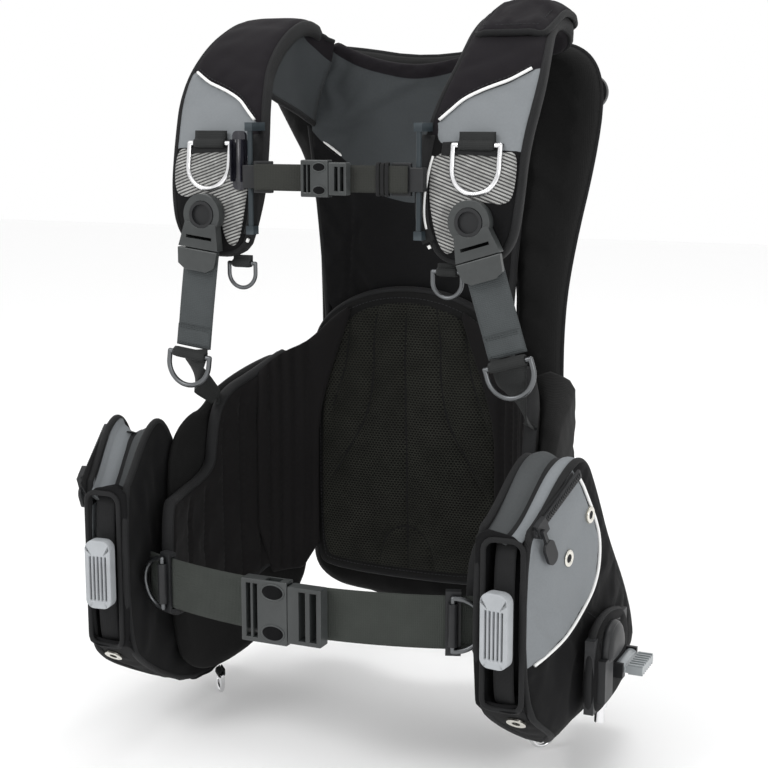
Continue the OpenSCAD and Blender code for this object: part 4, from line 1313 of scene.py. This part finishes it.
def add_chest_straps():
    for s in (-1, 1):
        x = np.linspace(8, 79, 20)
        sag = -0.25 * np.sin((x - 8) / 71 * math.pi)
        path = np.stack([s * x, CHEST_Y + sag, np.full(20, CHEST_Z)], 1)
        parts = [sweep(path, band_profile(25, 1.9), (0, -1, 0))]
        obj = one_mesh("chest_strap_cloth_" + SIDES[s], parts, M["dark_strap"])
        if s > 0:
            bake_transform(obj)
        else:
            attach(obj, "chest_bridge")
        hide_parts("chest_strap_" + SIDES[s])
    loops = []
    for x, half in ((50, 15.0), (54.5, 14.6), (59, 15.2)):
        ring = [(-1.9, 0.92), (-2.6, 0), (-1.9, -0.92), (0, -1), (2.2, -0.92), (2.6, 0), (2.2, 0.92), (0, 1)]
        ring = np.array([(x, CHEST_Y + y, CHEST_Z + z * half) for y, z in ring])
        path = resample(catmull(ring, True), 2.5, True)
        out = (path - (x, CHEST_Y, CHEST_Z)) * (0, 8, 1)
        loops.append(sweep(path, band_profile(3.6, 1.0, 5), out, closed=True))
    joined("chest_keepers", loops, M["binding"], "chest_bridge")


def add_band():
    t = np.linspace(0, 2 * math.pi, 121)[:-1]
    out = np.stack([np.cos(t), np.sin(t), np.zeros(120)], 1)
    joined("tank_band_cloth", [sweep(out * 93.3, band_profile(50, 2.3, 13), out, closed=True)], M["strap"],
           "root", ["tank_band"])


# ---------- zip teeth ----------

ZIP_PITCH = 2.7


def add_zip(s):
    start, end = np.array([230.5, -420, -88.0]), np.array([249, -350, -47.0])
    run = end - start
    size = np.linalg.norm(run)
    u = run / size
    v = np.array([-u[1], u[0], 0]) / math.hypot(u[0], u[1])
    w = np.cross(u, v)
    parts = []
    for i in range(int(size / ZIP_PITCH)):
        for side in (-1, 1):
            base = start + u * (i * ZIP_PITCH + 1.4 + side * 0.65) - v * 1.9 + w * side * 1.1
            tooth = [base - w * side * 1.5, base + w * side * 1.5]
            parts.append(sweep(np.array(tooth) * (s, 1, 1), oval(0.7, 0.8, 6), -v * (s, 1, 1)))
    joined("zip_teeth_" + SIDES[s], parts, M["plastic"], "root")


# ---------- CAD nodes that stay ----------

KEPT = {
    "frame": ["backplate", "cam_buckle_base"],
    "plastic": ["cam_lever", "carry_handle", "chest_sliders", "belt_sliders", "swivel_studs", "exhaust_valves",
                "valve_knob", "inflator_housing", "zip_chains", "zip_slider_left", "zip_slider_right"],
    "buckle": ["chest_socket", "chest_plug", "waist_socket", "waist_plug", "shoulder_socket_left",
               "shoulder_socket_right", "shoulder_plug_left", "shoulder_plug_right"],
    "rail": ["chest_rails"],
    "rubber": ["hose_clip"],
    "handle": ["pouch_handle_left", "pouch_handle_right"],
    "lever": ["inflator_lever"],
    "steel": ["chest_ring_left", "chest_ring_right", "hip_ring_left", "hip_ring_right", "hose_connector"],
    "gunmetal": ["strap_ring_left", "strap_ring_right", "accessory_ring_left", "accessory_ring_right",
                 "waist_ring_left", "waist_ring_right"],
    "nickel": ["eyelets"],
}
SOFTENED = {"frame": 1.2, "plastic": 0.8, "buckle": 0.8, "handle": 2.0, "lever": 0.7, "rubber": 0.6}


def dress_nodes():
    for kind, names in KEPT.items():
        for name in names:
            obj = frame["nodes"][name]
            for spot in obj.material_slots:
                spot.material = M[kind]
            if kind in SOFTENED and name != "zip_chains":
                weld = obj.modifiers.new("weld", "WELD")
                weld.merge_threshold = 0.00002
                soft = obj.modifiers.new("edge", "BEVEL")
                soft.width = (2.4 if name == "inflator_housing" else SOFTENED[kind]) * MM
                soft.segments = 2
                soft.limit_method = "ANGLE"
                soft.angle_limit = math.radians(40)


add_camera()
add_studio()
dress_nodes()
add_yoke()
add_back_pad()
add_air_cell()
add_flap()
add_inflator_cover()
add_band()
for side in (1, -1):
    add_wing(side)
    add_lobe(side)
    add_shoulder(side)
    add_pocket(side)
    add_pouch(side)
    add_zip(side)
run_cloth()
add_tabs()
add_belts()
add_chest_straps()
add_buckle_face("chest_buckle", "chest_bridge", (-5.0, -352.4, CHEST_Z), 6.6, 4.0, 10.6)
add_buckle_face("waist_buckle", "root", (-11.5, -440.9, BELT_Z), 11.5, 7.4, 19.5)
for side in (1, -1):
    add_yoke_corner(side)
    add_shoulder_strap(side)
joined("piping", DETAIL["piping"], M["piping"], "root")
joined("bindings", DETAIL["binding"], M["binding"], "root")
joined("stitching", DETAIL["stitch"], M["stitch"], "root")
joined("eyelet_rims", DETAIL["eyelet"], M["nickel"], "root")
